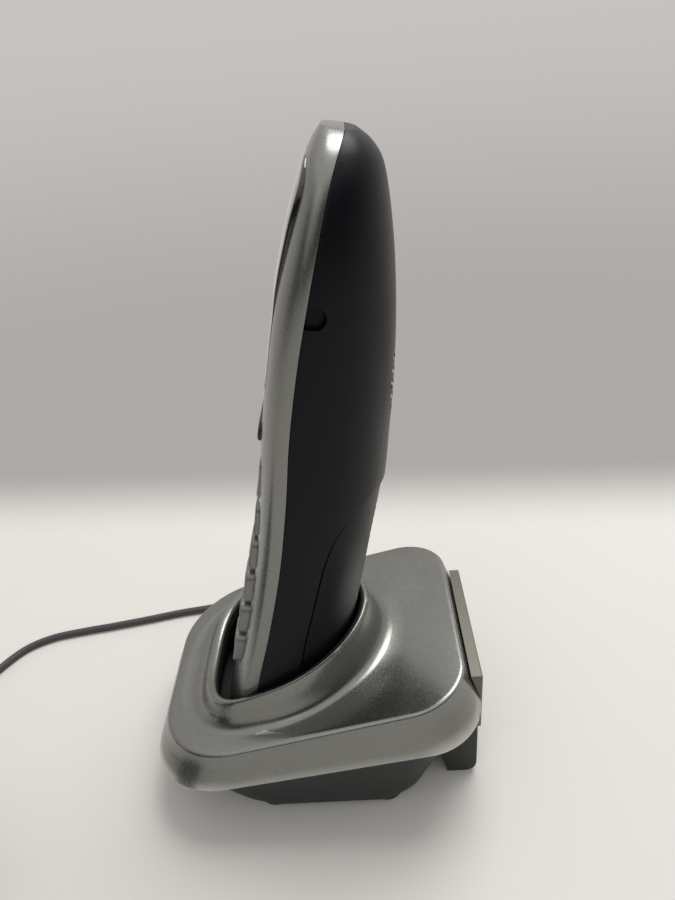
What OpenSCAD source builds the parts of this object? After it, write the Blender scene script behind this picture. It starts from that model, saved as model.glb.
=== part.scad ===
// Cordless telephone: a handset standing in its charging base, with the mains adaptor and cord.
// Frame: +Z up, +Y towards the back of the base, the display faces -Y, and the origin is on the
// ground under the middle of the base. The handset is drawn in its own frame (x across, y deep,
// z along its length) and docked() leans it back into the cradle.

/* [Handset] */
// Width of the handset
handset_width = 44; // [43:0.25:44.5]
// Length of the handset
handset_len = 150; // [147.5:0.5:153.5]
// Wall of the handset shells
handset_wall = 1.6; // [1.4:0.1:1.8]
// Lean of the docked handset towards the back, in degrees
lean = 12; // [11:0.5:13]

/* [Keys] */
// Width of a number key
key_w = 9.6; // [8.8:0.1:9.8]
// Height of a number key
key_h = 9.2; // [8.4:0.1:9.4]
// Distance from one row of keys to the next
key_pitch = 10; // [9.8:0.05:10]
// How far the proudest key stands out of the frame
key_proud = 2; // [1.6:0.1:2.2]
// Gap between a key and the frame
key_gap = 0.3; // [0.2:0.05:0.4]

/* [Base] */
// Width of the base
base_width = 71; // [70:0.5:76]
// Length of the base's silver cover
base_len = 86.3; // [86:0.1:88]
// Wall of the base's cover and case
base_wall = 1.8; // [1.6:0.1:2]
// Gap between the handset's side and the cradle opening
dock_gap = 0.35; // [0.3:0.05:0.5]
// Thickness of a rubber foot
foot_h = 1.5; // [1.5:0.1:1.6]

/* [Cord] */
// Diameter of the power cord
cord_d = 2.4; // [2:0.1:2.6]
// Diameter of the coiled cord, at the middle of its turns
coil_d = 27; // [26:0.5:28]

/* [Hidden] */
$fn = 48;
silver = [0.62, 0.63, 0.61];
charcoal = [0.12, 0.13, 0.14];
case_grey = [0.16, 0.18, 0.18];
black = [0.03, 0.03, 0.035];
steel = [0.75, 0.75, 0.76];
gold = [0.85, 0.68, 0.35];
board_green = [0.1, 0.35, 0.2];
rubber_grey = [0.09, 0.09, 0.09];

// Where the docked handset's frame stands, and the direction in which it lifts out
dock_y = -18.3;
dock_z = 16;
up = [0, sin(lean), cos(lean)];

// ---- Handset outline: [height along the handset, value] at the heights where the shape turns ----
kl = handset_len / 150;
handset_lo = 2;
handset_hi = handset_lo + handset_len;
half_share = [[2, .84], [3.5, .91], [7, .965], [16, .992], [40, 1], [112, 1], [128, .975], [138, .9],
    [144.5, .79], [148.5, .64], [151, .47], [152, .32]];
front_pts = [[2, -6.2], [4.5, -6.9], [10, -6.5], [20, -5.85], [30, -5.15], [42, -4.6], [54, -4.4],
    [66, -4.55], [80, -5.15], [95, -5.75], [110, -6], [122, -5.7], [134, -4.35], [142, -3.25],
    [147, -2.7], [150, -1.6], [152, -0.6]];
seam_pts = [[2, 0.6], [25, 0.8], [41, 1.8], [60, 2.4], [78, 1.9], [94, 0.9], [110, 0.7], [124, 1.2],
    [138, 2], [146, 2.8], [152, 4]];
rear_pts = [[2, 21.2], [4, 23.2], [10, 24.1], [20, 24.4], [43, 24.6], [60, 24.6], [78, 24.6], [90, 23.6],
    [103, 22.3], [117, 20.3], [130, 17.7], [138, 15.6], [144, 13.7], [148, 11.9], [150.6, 9.3], [152, 6.7]];
cover_seam_pts = [[2, 10.6], [36, 10.7], [50, 11.5], [60, 12.1], [66, 13], [70, 14.3], [74, 16.8],
    [78, 20.6], [81, 25], [84, 40]];
front_power = 3.2;
rear_power = 2.1;
cover_top = 78.6;
cover_inset = 0.6;
cover_wall = 1.2;
seam_gap = 0.15;
bay_half = 12.4;
bay_floor = 10;
bay_top = 58;
cell_r = 5.25;
cell_len = 44.5;
cell_lo = 9;
cell_x = 5.6;
cell_v = bay_floor + 0.15 + cell_r;
screw_at = [16, 62];
head_v = 11.4;

// ---- Keys: name, x, height along the handset, width, height ----
key_back = -1.2;
column = 11.4;
digit_row = 69.1;
call_h = 10.2;
digit_names = [["key_1", "key_2", "key_3"], ["key_4", "key_5", "key_6"], ["key_7", "key_8", "key_9"],
    ["key_star", "key_0", "key_hash"], ["redial_key", "hold_key", "intercom_key"]];
call_row = digit_row + key_pitch / 2 + 0.9 + call_h / 2;
call_x = 9.5;
call_w = 12.8;
function key_layout() = concat(
    [["talk_key", -call_x, call_row, call_w, call_h], ["end_key", call_x, call_row, call_w, call_h]],
    [for (r = [0:4]) for (c = [0:2])
        [digit_names[r][c], (c - 1) * column, digit_row - r * key_pitch, key_w, key_h]]);
// Share of key_proud by which a key at this height stands out
key_share = [[24, .85], [29.1, 1.03], [39.1, 1.05], [49.1, .89], [59.1, .68], [69.1, .44], [80.1, .25]];
key_side = 14.3;
nav_w = 24;
nav_h = 5.2;
nav_at = call_row + call_h / 2 + 1.9 + nav_h / 2;
nav_pivot_v = -3;
nav_pivot_r = 0.45;
nav_pivot_out = 0.4;

// ---- Front plate and display ----
plate_lo = 97;
plate_hi = 147;
plate_half = 15;
display_at = 111;
display_w = 27;
display_h = 20;
ear_at = 136;
ringer_at = 103;
grille_pitch = 3;
notch_at = 120.6;
notch_r = 2.1;

// ---- Base: planes, rim of the cradle and foot of its ring ----
base_front = -43.3;
base_rear = base_front + base_len;
plate_mid_z = 32.3;
plate_slope = 0.2354;
skirt_mid_z = 21.8;
skirt_slope = 0.176;
front_r = 20.7;
rear_r = 14;
inset_side = 2.9;
inset_rear = 4;
skirt_wall = 2;
bevel = 1.3;
rim_half = handset_width / 2 + dock_gap + bevel - 0.05;
rim_front = -28;
rim_rear = 15.1;
rim_split = rim_front + 0.45 * (rim_rear - rim_front);
rim_front_power = 3.2;
rim_rear_power = 1.9;
rim_z0 = 29.1;
rim_rise = 19.1;
foot_half = 28.2;
foot_mid = -12;
foot_rear = 34.2;
foot_front = 25.5;
lip_depth = 3.5;
pocket_floor = -3;
pocket_wall = 1.5;
block_half = 20;
hood_half = 21;
skirt_foot = skirt_mid_z + skirt_slope * base_rear;
hood_lo = skirt_foot - 10.268;
hood_hi = skirt_foot + 8.132;
hood_notch = skirt_foot - 0.768;
hood_inner = skirt_foot - 0.468;
hood_lean = skirt_foot + 0.032;
hood_step = 0.6;
block_rear = base_rear;
board_thick = 1.6;
floor_z = foot_h;
board_z = floor_z + base_wall + 0.1;
screw_x = 10;
screw_y = 19;
contact_x = 9;
contact_v = 4;

// ---- Cord: the plug's tip, then the way it lies on the ground, as round numbers ----
cord_r = cord_d / 2;
plug_y = 15.5;
plug_z = 10.2;
jack_mouth = -29.6;
jack_back = -16.2;
plug_tip = [-51.5, plug_y, plug_z];
lay = cord_r + 0.05;
coil_at = [16, -134];
bundle = 10;
coil_edge = coil_d / 2 + bundle / 2 + 0.9;
route = [plug_tip, [-56, 14.5, 8.6], [-60, 10.5, 5.4], [-61.5, 3, 2.6], [-61, -6, lay], [-57.5, -18, lay],
    [-54, -30, lay], [-51.5, -40, lay], [-49.5, -52, lay], [-47, -63, lay], [-44.5, -75, lay],
    [-42.5, -86, lay], [-40, -96, lay], [-35, -104, lay], [-26, -110, lay], [-15, -115, lay],
    [-7.5, -120, lay], [-4.2, -126.5, 2.6], [coil_at[0] - coil_edge, coil_at[1], bundle / 2]];
adaptor_at = [61, -123];
adaptor_size = [40, 52, 30];
gland_tip = adaptor_at[1] + adaptor_size[1] / 2 + 4;
tail = [[coil_at[0] + coil_edge, coil_at[1], bundle / 2], [37.2, -128, 4], [38.3, -120, 4],
    [38.8, -111, 6], [39, -102, 8.5], [39, -93, 11], [40.5, -87.5, 12.5], [44.5, -83.5, 13.8],
    [50, -82, 14.6], [55.5, -83.5, 15], [59.5, -87.5, 15],
    [adaptor_at[0], gland_tip, adaptor_size[2] / 2]];

// ---- Curves ----
// Smooth curve through [x, value] points, by cubic pieces whose slopes come from the neighbours
function piece(x, p, i = 0) = (i >= len(p) - 2 || x < p[i + 1][0]) ? i : piece(x, p, i + 1);
function slope(p, i) = let (a = max(0, i - 1), b = min(len(p) - 1, i + 1))
    (p[b][1] - p[a][1]) / (p[b][0] - p[a][0]);
function curve(x, p) = let (
    i = piece(x, p), h = p[i + 1][0] - p[i][0], t = (x - p[i][0]) / h,
    m0 = slope(p, i) * h, m1 = slope(p, i + 1) * h, a = p[i][1], b = p[i + 1][1])
    a + t * (m0 + t * (3 * (b - a) - 2 * m0 - m1 + t * (2 * (a - b) + m0 + m1)));
function side(u, power) = pow(max(0, 1 - pow(min(1, abs(u)), power)), 1 / power);
function mix(a, b, t) = a + (b - a) * t;
function sgn_pow(u, power) = sign(u) * pow(abs(u), 2 / power);
function flip(a) = [for (i = [len(a) - 1:-1:0]) a[i]];

// ---- Handset surfaces, in the handset's frame ----
function half_at(w) = handset_width / 2 * curve(w / kl, half_share);
function front_at(w) = curve(w / kl, front_pts);
function seam_at(w) = curve(w / kl, seam_pts);
function rear_at(w) = curve(w / kl, rear_pts);
function cover_seam_at(w) = curve(min(w, 84), cover_seam_pts);
function front_skin(x, w, off) = let (s = seam_at(w))
    s - (s - front_at(w) - off) * side(x / (half_at(w) - off), front_power);
function rear_skin(x, w, off) = let (s = seam_at(w))
    s + (rear_at(w) - off - s) * side(x / (half_at(w) - off), rear_power);
function shell_skin(x, w, off) =
    min(rear_skin(x, w, off), cover_seam_at(w) - seam_gap - off,
        abs(x) < bay_half + 0.3 + off && w < bay_top + off ? bay_floor - off : 100);

// ---- Solids made of loops of points ----
// Skin over closed loops that run anticlockwise seen from the end they advance to. With ring set,
// the last loop joins the first; otherwise both ends are closed by fans about their middles.
function middle(loop) = let (one = [for (p = loop) 1]) (one * loop) / len(loop);
module skin(loops, ring = false) {
    n = len(loops[0]);
    m = len(loops);
    spans = ring ? m : m - 1;
    polyhedron(
        points = concat([for (l = loops) each l], [middle(loops[0]), middle(loops[m - 1])]),
        faces = concat(
            [for (i = [0:spans - 1]) for (j = [0:n - 1]) let (k = (j + 1) % n, i2 = (i + 1) % m)
                each [[i * n + j, i2 * n + j, i2 * n + k], [i * n + j, i2 * n + k, i * n + k]]],
            ring ? [] : [for (j = [0:n - 1]) let (k = (j + 1) % n)
                each [[j, k, m * n], [(m - 1) * n + k, (m - 1) * n + j, m * n + 1]]]));
}

// Trough with closed ends from an outer and an inner grid of points; each row is one open arc
module trough(outer, inner) {
    n = len(outer[0]);
    m = len(outer);
    k = 2 * n;
    e = (m - 1) * k;
    polyhedron(
        points = [for (i = [0:m - 1]) each concat(outer[i], flip(inner[i]))],
        faces = concat(
            [for (i = [0:m - 2]) for (j = [0:k - 1]) let (q = (j + 1) % k)
                each [[i * k + j, i * k + k + j, i * k + k + q], [i * k + j, i * k + k + q, i * k + q]]],
            [[for (j = [0:n - 1]) j], [for (j = [n:k - 1]) j], [0, n - 1, n, k - 1]],
            [[for (j = [n - 1:-1:0]) e + j], [for (j = [k - 1:-1:n]) e + j],
             [e + k - 1, e + n, e + n - 1, e]]));
}

// Tube of eight sides along a route, with rings halfway between the route's points as well
function dense(p) = [for (i = [0:len(p) - 2]) for (t = [0, 0.34, 0.67])
    let (a = p[max(0, i - 1)], b = p[i], c = p[i + 1], d = p[min(len(p) - 1, i + 2)])
    b + t * ((c - a) / 2 + t * ((2 * a - 5 * b + 4 * c - d) / 2 + t * (3 * b - a - 3 * c + d) / 2))];
function unit(v) = v / norm(v);
module tube(p, r) {
    q = concat(dense(p), [p[len(p) - 1]]);
    last = len(q) - 1;
    skin([for (i = [0:last]) let (
        d = unit(q[min(last, i + 1)] - q[max(0, i - 1)]),
        u = unit(cross([0, 0, 1], d)), v = cross(d, u))
        [for (a = [22.5:45:359]) q[i] + r * (cos(a) * u + sin(a) * v)]]);
}

module docked() translate([0, dock_y, dock_z]) rotate([-lean, 0, 0]) children();

// Rounded rectangle, centred
module slab2d(w, h, r) {
    square([w - 2 * r, h], center = true);
    square([w, h - 2 * r], center = true);
    for (x = [-1, 1]) for (y = [-1, 1]) translate([x * (w / 2 - r), y * (h / 2 - r)]) circle(r, $fn = 24);
}

// Prism of a rounded rectangle that faces the display side, from depth v0 back to depth v1
module face_prism(x, w, width, height, r, v0, v1)
    translate([x, v1, w]) rotate([90, 0, 0]) linear_extrude(v1 - v0) slab2d(width, height, r);

// Cylinder along the handset's depth, from depth v0 to depth v1
module depth_rod(x, w, r, v0, v1) translate([x, v1, w]) rotate([90, 0, 0]) cylinder(r = r, h = v1 - v0);

// ---- Handset shells ----
shell_rows = concat([2, 3, 4.5, 8, 14, 24, 36, 48, 57.6, 58.4, 62, 66, 69, 72, 75, 77.5, 79.5, 81, 83],
    [91, 101, 111, 121, 130, 137, 142, 146, 148.6, 150.4, 151.5, 152] * kl);
frame_arc = [for (a = [-90:10:90]) sin(a)];
function arc_x(u, w, off) = (half_at(w) - off) * sign(u) * pow(abs(u), 0.8);
// Height of an inner row, which closes in on the end walls without meeting its neighbour
function inner_row(w, lo, hi, wall) = max(lo + wall + 0.3 * (w - lo), min(hi - wall - 0.3 * (hi - w), w));
function shell_row(w, off) = off > 0 ? inner_row(w, handset_lo, handset_hi, off) : w;
function frame_grid(off) = [for (r = shell_rows) let (w = shell_row(r, off))
    [for (u = frame_arc) let (x = arc_x(u, w, off)) [x, front_skin(x, w, off), w]]];

module front_frame() color(silver) docked() difference() {
    trough(frame_grid(0), frame_grid(handset_wall));
    face_prism(0, (plate_lo + plate_hi) / 2 * kl, 2 * plate_half + 0.3, (plate_hi - plate_lo) * kl + 0.3, 8, -12, 0.5);
    face_prism(0, nav_at, nav_w + 2 * key_gap, nav_h + 2 * key_gap, 2.8, -12, -1);
    for (s = [-1, 1])
        face_prism(s * call_x, call_row, call_w + 2 * key_gap, call_h + 2 * key_gap, 2.4, -12, -1);
    for (c = [-1:1]) face_prism(c * column, digit_row - 2 * key_pitch, key_w + 2 * key_gap,
        4 * key_pitch + key_h + 2 * key_gap, 2.4, -12, -1);
    depth_rod(0, 12, 0.7, -12, -1);
}

shell_side = [1, 0.995, 0.975, 0.94, 0.9, 0.84, 0.76, 0.67];
shell_mid = [0.578, 0.552, 0.4, 0.2];
shell_arc = concat(shell_side, shell_mid, [0], -flip(shell_mid), -flip(shell_side));
function shell_grid(off) = [for (r = shell_rows) let (w = shell_row(r, off))
    [for (u = shell_arc) let (x = u * (half_at(w) - off)) [x, shell_skin(x, w, off), w]]];

module rear_shell() color(charcoal) docked() difference() {
    union() {
        trough(shell_grid(0), shell_grid(handset_wall));
        // ring that seats the ringer, and the wall that closes the cell bay at its foot
        difference() {
            depth_rod(0, ringer_at * kl, 10.6, 17.4, 19);
            depth_rod(0, ringer_at * kl, 9.2, 17, 20);
        }
        for (s = [-1, 1]) depth_rod(s * screw_at[0], screw_at[1], 2.6, 0.8, 11.6);
        translate([-bay_half - 0.2, bay_floor - 0.5, cell_lo - 4.6]) cube([2 * bay_half + 0.4, 5.2, 1.4]);
    }
    for (i = [-2:2])
        face_prism(0, ringer_at * kl + i * grille_pitch, 15 - abs(i) * 1.5, 1.2, 0.55, 18.6, 26);
    for (s = [-1, 1]) {
        translate([s * (half_at(notch_at * kl) - 1.1) + (s < 0 ? -4 : 0), 0, notch_at * kl])
            rotate([90, 0, 90]) linear_extrude(4) {
                translate([2.9, 0]) circle(notch_r);
                translate([-0.5, -notch_r]) square([3.4, 2 * notch_r]);
            }
        translate([s * contact_x - 2.1, contact_v - 2.6, 1]) cube([4.2, 5.2, 2]);
        depth_rod(s * screw_at[0], screw_at[1], 1.02, -1, 20);
        depth_rod(s * screw_at[0], screw_at[1], 2.15, head_v, 20);
    }
}

cover_rows = [2, 3, 4.5, 8, 14, 24, 36, 48, 58, 64, 68, 71, 73.5, 76, cover_top];
function cover_skin(x, w, off) = let (s = seam_at(w))
    s + (rear_at(w) - cover_inset - off - s) * side(x / (half_at(w) - off), rear_power);
// Half width of the cover where it meets its seam
function cover_half(w, off) = let (s = seam_at(w))
    (half_at(w) - off) * side((cover_seam_at(w) + seam_gap - s) / (rear_at(w) - cover_inset - off - s), rear_power);
cover_share = [for (a = [-90:11.25:90]) -sin(a)];
function cover_grid(off) = [for (r = cover_rows)
    let (w = off > 0 ? inner_row(r, handset_lo, cover_top, off) : r, h = cover_half(w, off))
    [for (u = cover_share) [u * h, max(cover_skin(u * h, w, off), cover_seam_at(w) + seam_gap), w]]];
module battery_cover() color(charcoal) docked() trough(cover_grid(0), cover_grid(cover_wall));

// Patch that follows the front of the handset, standing proud by rise, and by swell more at its crown
plate_swell = [[97, 0], [116, 0], [122, .35], [130, .75], [139, 1], [144, .65], [147, .3]];
function span_steps(a, b, n) = [for (i = [0:n]) mix(a, b, i / n)];
module front_patch(half, lo, hi, rise, swell, thick) {
    rows = span_steps(lo, hi, 12);
    across = span_steps(-half, half, 8);
    n = len(across);
    polyhedron(
        points = [for (t = [0, thick]) for (w = rows) let (r = rise + swell * curve(w / kl, plate_swell))
            for (x = across) [x, front_skin(x, w, 0) - (t > 0 ? 0 : r) + t, w]],
        faces = concat(
            [for (i = [0:len(rows) - 2]) for (j = [0:n - 2]) let (a = i * n + j, b = a + n, c = n * len(rows))
                each [[a, b, b + 1], [a, b + 1, a + 1], [a + c, b + c + 1, b + c], [a + c, a + c + 1, b + c + 1]]],
            patch_edge([for (j = [0:n - 1]) j], n * len(rows)),
            patch_edge([for (i = [0:len(rows) - 1]) i * n + n - 1], n * len(rows)),
            patch_edge([for (j = [n - 1:-1:0]) (len(rows) - 1) * n + j], n * len(rows)),
            patch_edge([for (i = [len(rows) - 1:-1:0]) i * n], n * len(rows))));
}
function patch_edge(e, c) = [for (i = [0:len(e) - 2])
    each [[e[i], e[i + 1], e[i + 1] + c], [e[i], e[i + 1] + c, e[i] + c]]];

module faceplate() color(charcoal) docked() difference() {
    intersection() {
        front_patch(plate_half, plate_lo * kl, plate_hi * kl, 0.1, 0.8, 1.1);
        face_prism(0, (plate_lo + plate_hi) / 2 * kl, 2 * plate_half, (plate_hi - plate_lo) * kl, 8, -12, 0);
    }
    face_prism(0, display_at * kl, display_w + 0.2, display_h + 0.2, 2.1, -12, 0);
    for (i = [-1:1]) face_prism(0, ear_at * kl + 2.5 * i, 12 - 3 * abs(i), 1.2, 0.55, -12, 0);
}
module display_lens() color([0.35, 0.4, 0.36]) docked() intersection() {
    front_patch(display_w / 2, display_at * kl - display_h / 2, display_at * kl + display_h / 2, 0.05, 0, 1);
    face_prism(0, display_at * kl, display_w, display_h, 2, -12, 0);
}

// ---- Inside the handset ----
module lcd_module() color([0.55, 0.6, 0.5]) docked()
    translate([-14.5, -3.5, display_at * kl - 12.5]) cube([29, 3, 25]);
module earpiece() color(black) docked() {
    depth_rod(0, ear_at * kl, 8.2, -1.2, 1.8);
    depth_rod(0, ear_at * kl, 3.4, 1.8, 3.2);
}
mat_front = key_back + 0.95;
mat_thick = 0.9;
pcb = 1.2;
module keypad_mat() color([0.3, 0.3, 0.3]) docked() {
    translate([-16.6, mat_front, 22.5]) cube([33.2, mat_thick, 72]);
    for (k = key_layout()) depth_rod(k[1], k[2], 2, mat_front - 0.1, mat_front + 0.15);
}
module microphone() color(steel) docked() depth_rod(0, 12, 3, -4.4, -1.9);
module handset_board() color(board_green) docked() difference() {
    translate([-17, mat_front + mat_thick + 0.05, 9]) cube([34, pcb, 116 * kl]);
    for (s = [-1, 1]) depth_rod(s * screw_at[0], screw_at[1], 3, -4, 4);
}
module ringer_speaker() color(black) docked() {
    depth_rod(0, ringer_at * kl, 10, 13.4, 17.35);
    depth_rod(0, ringer_at * kl, 6, 11.4, 13.4);
}
module cell(side) docked() translate([side * cell_x, cell_v, 0]) {
    up_side = side > 0;
    color([0.2, 0.35, 0.2]) translate([0, 0, cell_lo + (up_side ? 0 : 0.8)]) cylinder(r = cell_r, h = cell_len - 0.8);
    color(steel) translate([0, 0, up_side ? cell_lo + cell_len - 0.9 : cell_lo]) cylinder(r = 1.9, h = 0.9);
}
module battery_left() cell(-1);
module battery_right() cell(1);
// Coil springs press the flat ends of the cells
module battery_springs() color(steel) docked() {
    for (s = [-1, 1]) translate([s * cell_x, cell_v, s > 0 ? cell_lo - 2.75 : cell_lo + cell_len + 0.05])
        for (i = [0:2]) translate([0, 0, 0.3 + i * 0.95]) rotate_extrude()
            translate([3.4 - 0.5 * (s > 0 ? i : 2 - i), 0]) circle(0.35, $fn = 16);
}
module battery_plates() color(steel) docked() {
    for (w = [cell_lo - 3.15, cell_lo + cell_len + 3.1])
        translate([-9.6, cell_v - 4, w]) cube([19.2, 7, 0.35]);
}
module antenna() color(gold) docked() {
    translate([-15, mat_front + mat_thick + pcb + 0.1, 112 * kl]) cube([1.2, 3.2, 12]);
    translate([-15, mat_front + mat_thick + pcb + 0.1, 123 * kl]) cube([12, 3.2, 1]);
}
module charge_pads() color(gold) docked() for (s = [-1, 1])
    translate([s * contact_x - 2, contact_v - 2.5, handset_lo - 0.02]) cube([4, 5, 0.9]);
module handset_screws() color(steel) docked() for (s = [-1, 1]) {
    depth_rod(s * screw_at[0], screw_at[1], 1, 1.2, head_v + 0.1);
    depth_rod(s * screw_at[0], screw_at[1], 2, head_v + 0.02, head_v + 1);
}

// ---- Keys ----
module key(x, w, width, height) docked() {
    face = front_skin(key_side, w, 0) - key_proud * curve(w, key_share);
    face_prism(x, w, width, height, 2.1, face + 0.4, key_back);
    face_prism(x, w, width - 1, height - 1, 1.7, face, face + 0.5);
    face_prism(x, w, width + 1, height - 0.6, 2.1, key_back - 0.5, key_back);
}
module nav_key() color(black) docked() {
    face = front_skin(nav_w * 0.3, nav_at, 0);
    face_prism(0, nav_at, nav_w, nav_h, 2.5, face - 0.2, key_back - 0.2);
    face_prism(0, nav_at, nav_w - 1, nav_h - 1, 2, face - 0.65, face - 0.1);
    face_prism(0, nav_at, nav_w + 1, nav_h + 1, 2.9, key_back - 0.7, key_back - 0.2);
    translate([-nav_w / 2 - nav_pivot_out, nav_pivot_v, nav_at]) rotate([0, 90, 0])
        cylinder(r = nav_pivot_r, h = nav_w + 2 * nav_pivot_out);
}

// ---- Base: outlines ----
function plate_z(y) = plate_mid_z + plate_slope * y;
function skirt_z(y) = skirt_mid_z + skirt_slope * y;
// Rounded rectangle seen from its middle at angle a: half width, front and rear ends, corner radii
function rrect(a, hx, y0, y1, r0, r1) = let (
    c = cos(a), s = sin(a), hy = (y1 - y0) / 2, r = s < 0 ? r0 : r1,
    tx = hx / max(abs(c), 1e-6), ty = hy / max(abs(s), 1e-6),
    dc = abs(c) * (hx - r) + abs(s) * (hy - r),
    cc = (hx - r) * (hx - r) + (hy - r) * (hy - r) - r * r,
    t = tx * abs(s) <= hy - r ? tx : ty * abs(c) <= hx - r ? ty : dc + sqrt(max(0, dc * dc - cc)))
    [t * c, (y0 + y1) / 2 + t * s];
function outline(a, side_in, rear_in, r_in) = rrect(a, base_width / 2 - side_in, base_front + side_in,
    base_rear - rear_in, front_r - r_in, rear_r - r_in);
function egg(a, half, mid, rear, front, p_rear, p_front) = let (
    c = cos(a), s = sin(a), p = s < 0 ? p_front : p_rear)
    [half * sgn_pow(c, p), mid + (s < 0 ? front : rear) * sgn_pow(s, p)];
function rim(a, grow) = egg(a, rim_half + grow, rim_split, rim_rear - rim_split + grow,
    rim_split - rim_front + grow, rim_rear_power, rim_front_power);
function rim_z(y) = rim_z0 + rim_rise * pow(max(0, (y - rim_front) / (rim_rear - rim_front)), 0.74);
function ring_foot(a, grow) = egg(a, foot_half + grow, foot_mid, foot_rear + grow, foot_front + grow, 2, 2.6);

// Turns about the base, and its closed loops
turns = [for (i = [0:89]) i * 4];
function loop_flat(pts, z_of) = [for (p = pts) [p[0], p[1], z_of(p[1])]];
// Wall of the cradle's ring: share of the way out to its foot, and share of the way down
ring_wall = [[0, 0], [0.1, 0.02], [0.24, 0.3], [0.36, 0.6], [0.56, 0.86], [1, 1]];
function crest(a) = let (p = rim(a, 0)) [p[0], p[1], rim_z(p[1])];
function wall_point(a, s) = let (c = crest(a), f = ring_foot(a, 0), fz = plate_z(f[1]))
    [mix(c[0], f[0], s[0]), mix(c[1], f[1], s[0]), mix(c[2], fz, s[1])];
function lip(a, grow, drop) = let (p = rim(a, grow)) [p[0], p[1], rim_z(rim(a, 0)[1]) - drop];
function cover_loops() = concat(
    [[for (a = turns) lip(a, -bevel, lip_depth)], [for (a = turns) lip(a, -bevel, bevel)]],
    [for (s = ring_wall) [for (a = turns) wall_point(a, s)]],
    [for (e = [[1.3, 0, 0], [0.3, 0.25, 0.5], [-0.1, 1.2, 0.6]])
        [for (a = turns) let (p = outline(a, inset_side + e[0], inset_rear + e[0], e[0]))
            [p[0], p[1], plate_z(p[1]) - e[1]]]],
    [[for (a = turns) let (p = outline(a, 0, 0, 0)) [p[0], p[1], skirt_z(p[1])]],
     [for (a = turns) let (p = outline(a, skirt_wall, skirt_wall, skirt_wall)) [p[0], p[1], skirt_z(p[1])]],
     [for (a = turns) let (p = outline(a, inset_side + skirt_wall, inset_rear + skirt_wall, skirt_wall + 1))
        [p[0], p[1], plate_z(p[1]) - base_wall - 0.6]],
     [for (a = turns) let (p = ring_foot(a, -base_wall)) [p[0], p[1], plate_z(p[1]) - base_wall]],
     [for (a = turns) lip(a, -0.1, lip_depth)]]);

module base_cover() color(silver) difference() {
    union() {
        skin(flip(cover_loops()), ring = true);
        // bosses for the two screws that hold the case
        for (s = [-1, 1]) translate([s * screw_x, screw_y, 9]) cylinder(r = 3, h = plate_z(screw_y) - 10.5);
    }
    for (s = [-1, 1]) translate([s * screw_x, screw_y, 8]) cylinder(r = 1.27, h = 14);
}

function local_w(p) = (p[1] - dock_y) * up[1] + (p[2] - dock_z) * up[2];
function down_to(p, w) = p - (local_w(p) - w) * up;
module cradle_pocket() color(black) {
    outer = [for (a = turns) lip(a, -0.2, lip_depth + 0.1)];
    inner = [for (a = turns) lip(a, -1.25, lip_depth + 0.1)];
    difference() {
        skin([[for (p = outer) down_to(p, pocket_floor - pocket_wall)], outer, inner,
            [for (p = inner) down_to(p, pocket_floor)]]);
        docked() for (s = [-1, 1]) translate([s * contact_x, contact_v, -6]) cylinder(r = 1.55, h = 6);
    }
    // ribs that seat the handset
    docked() for (s = [-1, 1]) translate([s * 15 - 0.75, -7, pocket_floor - 0.2]) cube([1.5, 15, 4.9]);
}

module contact(s) color(gold) docked() translate([s * contact_x, contact_v, 0]) {
    translate([0, 0, -5.6]) cylinder(r = 1.5, h = 7);
    translate([0, 0, 1.4]) cylinder(r = 1.1, h = 0.5);
    translate([0, 0, -5.6]) cylinder(r = 2.4, h = 0.8);
}
module contact_left() contact(-1);
module contact_right() contact(1);

// Levels of the case: half width, front end, rear end, front and rear corner radii, height in front
// and at the back
case_rear = base_rear - 2.6;
case_levels = [[27.5, -16.5, 23, 9, 9, floor_z, floor_z], [29.3, -21, 26.5, 11, 11, 2.7, 2.7],
    [29.9, -26.5, 29.5, 13, 12, 5.2, 5.2], [30.5, -33.5, 33, 15, 13, 10, 12.5],
    [31.6, -38, base_rear - 6, 17, 13, 13, skirt_foot - 7.868],
    [base_width / 2 - 2.7, -40.4, case_rear, 18, 11.5, skirt_z(-40.4) + 1.2, skirt_z(case_rear) + 1.2]];
function case_loop(l, off, rise) = [for (a = turns) let (
    p = rrect(a, l[0] - off, l[1] + off, l[2] - off, l[3] - off, l[4] - off),
    t = (p[1] - l[1]) / (l[2] - l[1])) [p[0], p[1], mix(l[5], l[6], t) + rise]];

module base_case() color(case_grey) difference() {
    union() {
        skin(concat([for (l = case_levels) case_loop(l, 0, 0)],
            [for (i = [5:-1:0]) case_loop(case_levels[i], base_wall, i == 5 ? 0 : base_wall)]));
        translate([-block_half, 0, 0]) rotate([90, 0, 90]) linear_extrude(2 * block_half) rear_block();
        for (s = [-1, 1]) translate([s * screw_x, screw_y, floor_z + 0.5]) cylinder(r = 4, h = 7);
    }
    // sockets: power on the left side, telephone line at the back
    translate([-40, plug_y, plug_z]) rotate([0, 90, 0]) cylinder(r = 4.3, h = 14);
    translate([-6.3, block_rear - 15, 5.7]) cube([12.6, 20, 10.6]);
    for (s = [-1, 1]) translate([s * screw_x, screw_y, -1]) {
        cylinder(r = 2.8, h = floor_z + 5);
        cylinder(r = 1.6, h = 14);
    }
    for (x = [-1, 1]) for (y = [-12, 17.7]) translate([x * 23.2, y, 0]) cylinder(r = 4.9, h = floor_z + 0.5);
}
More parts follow.
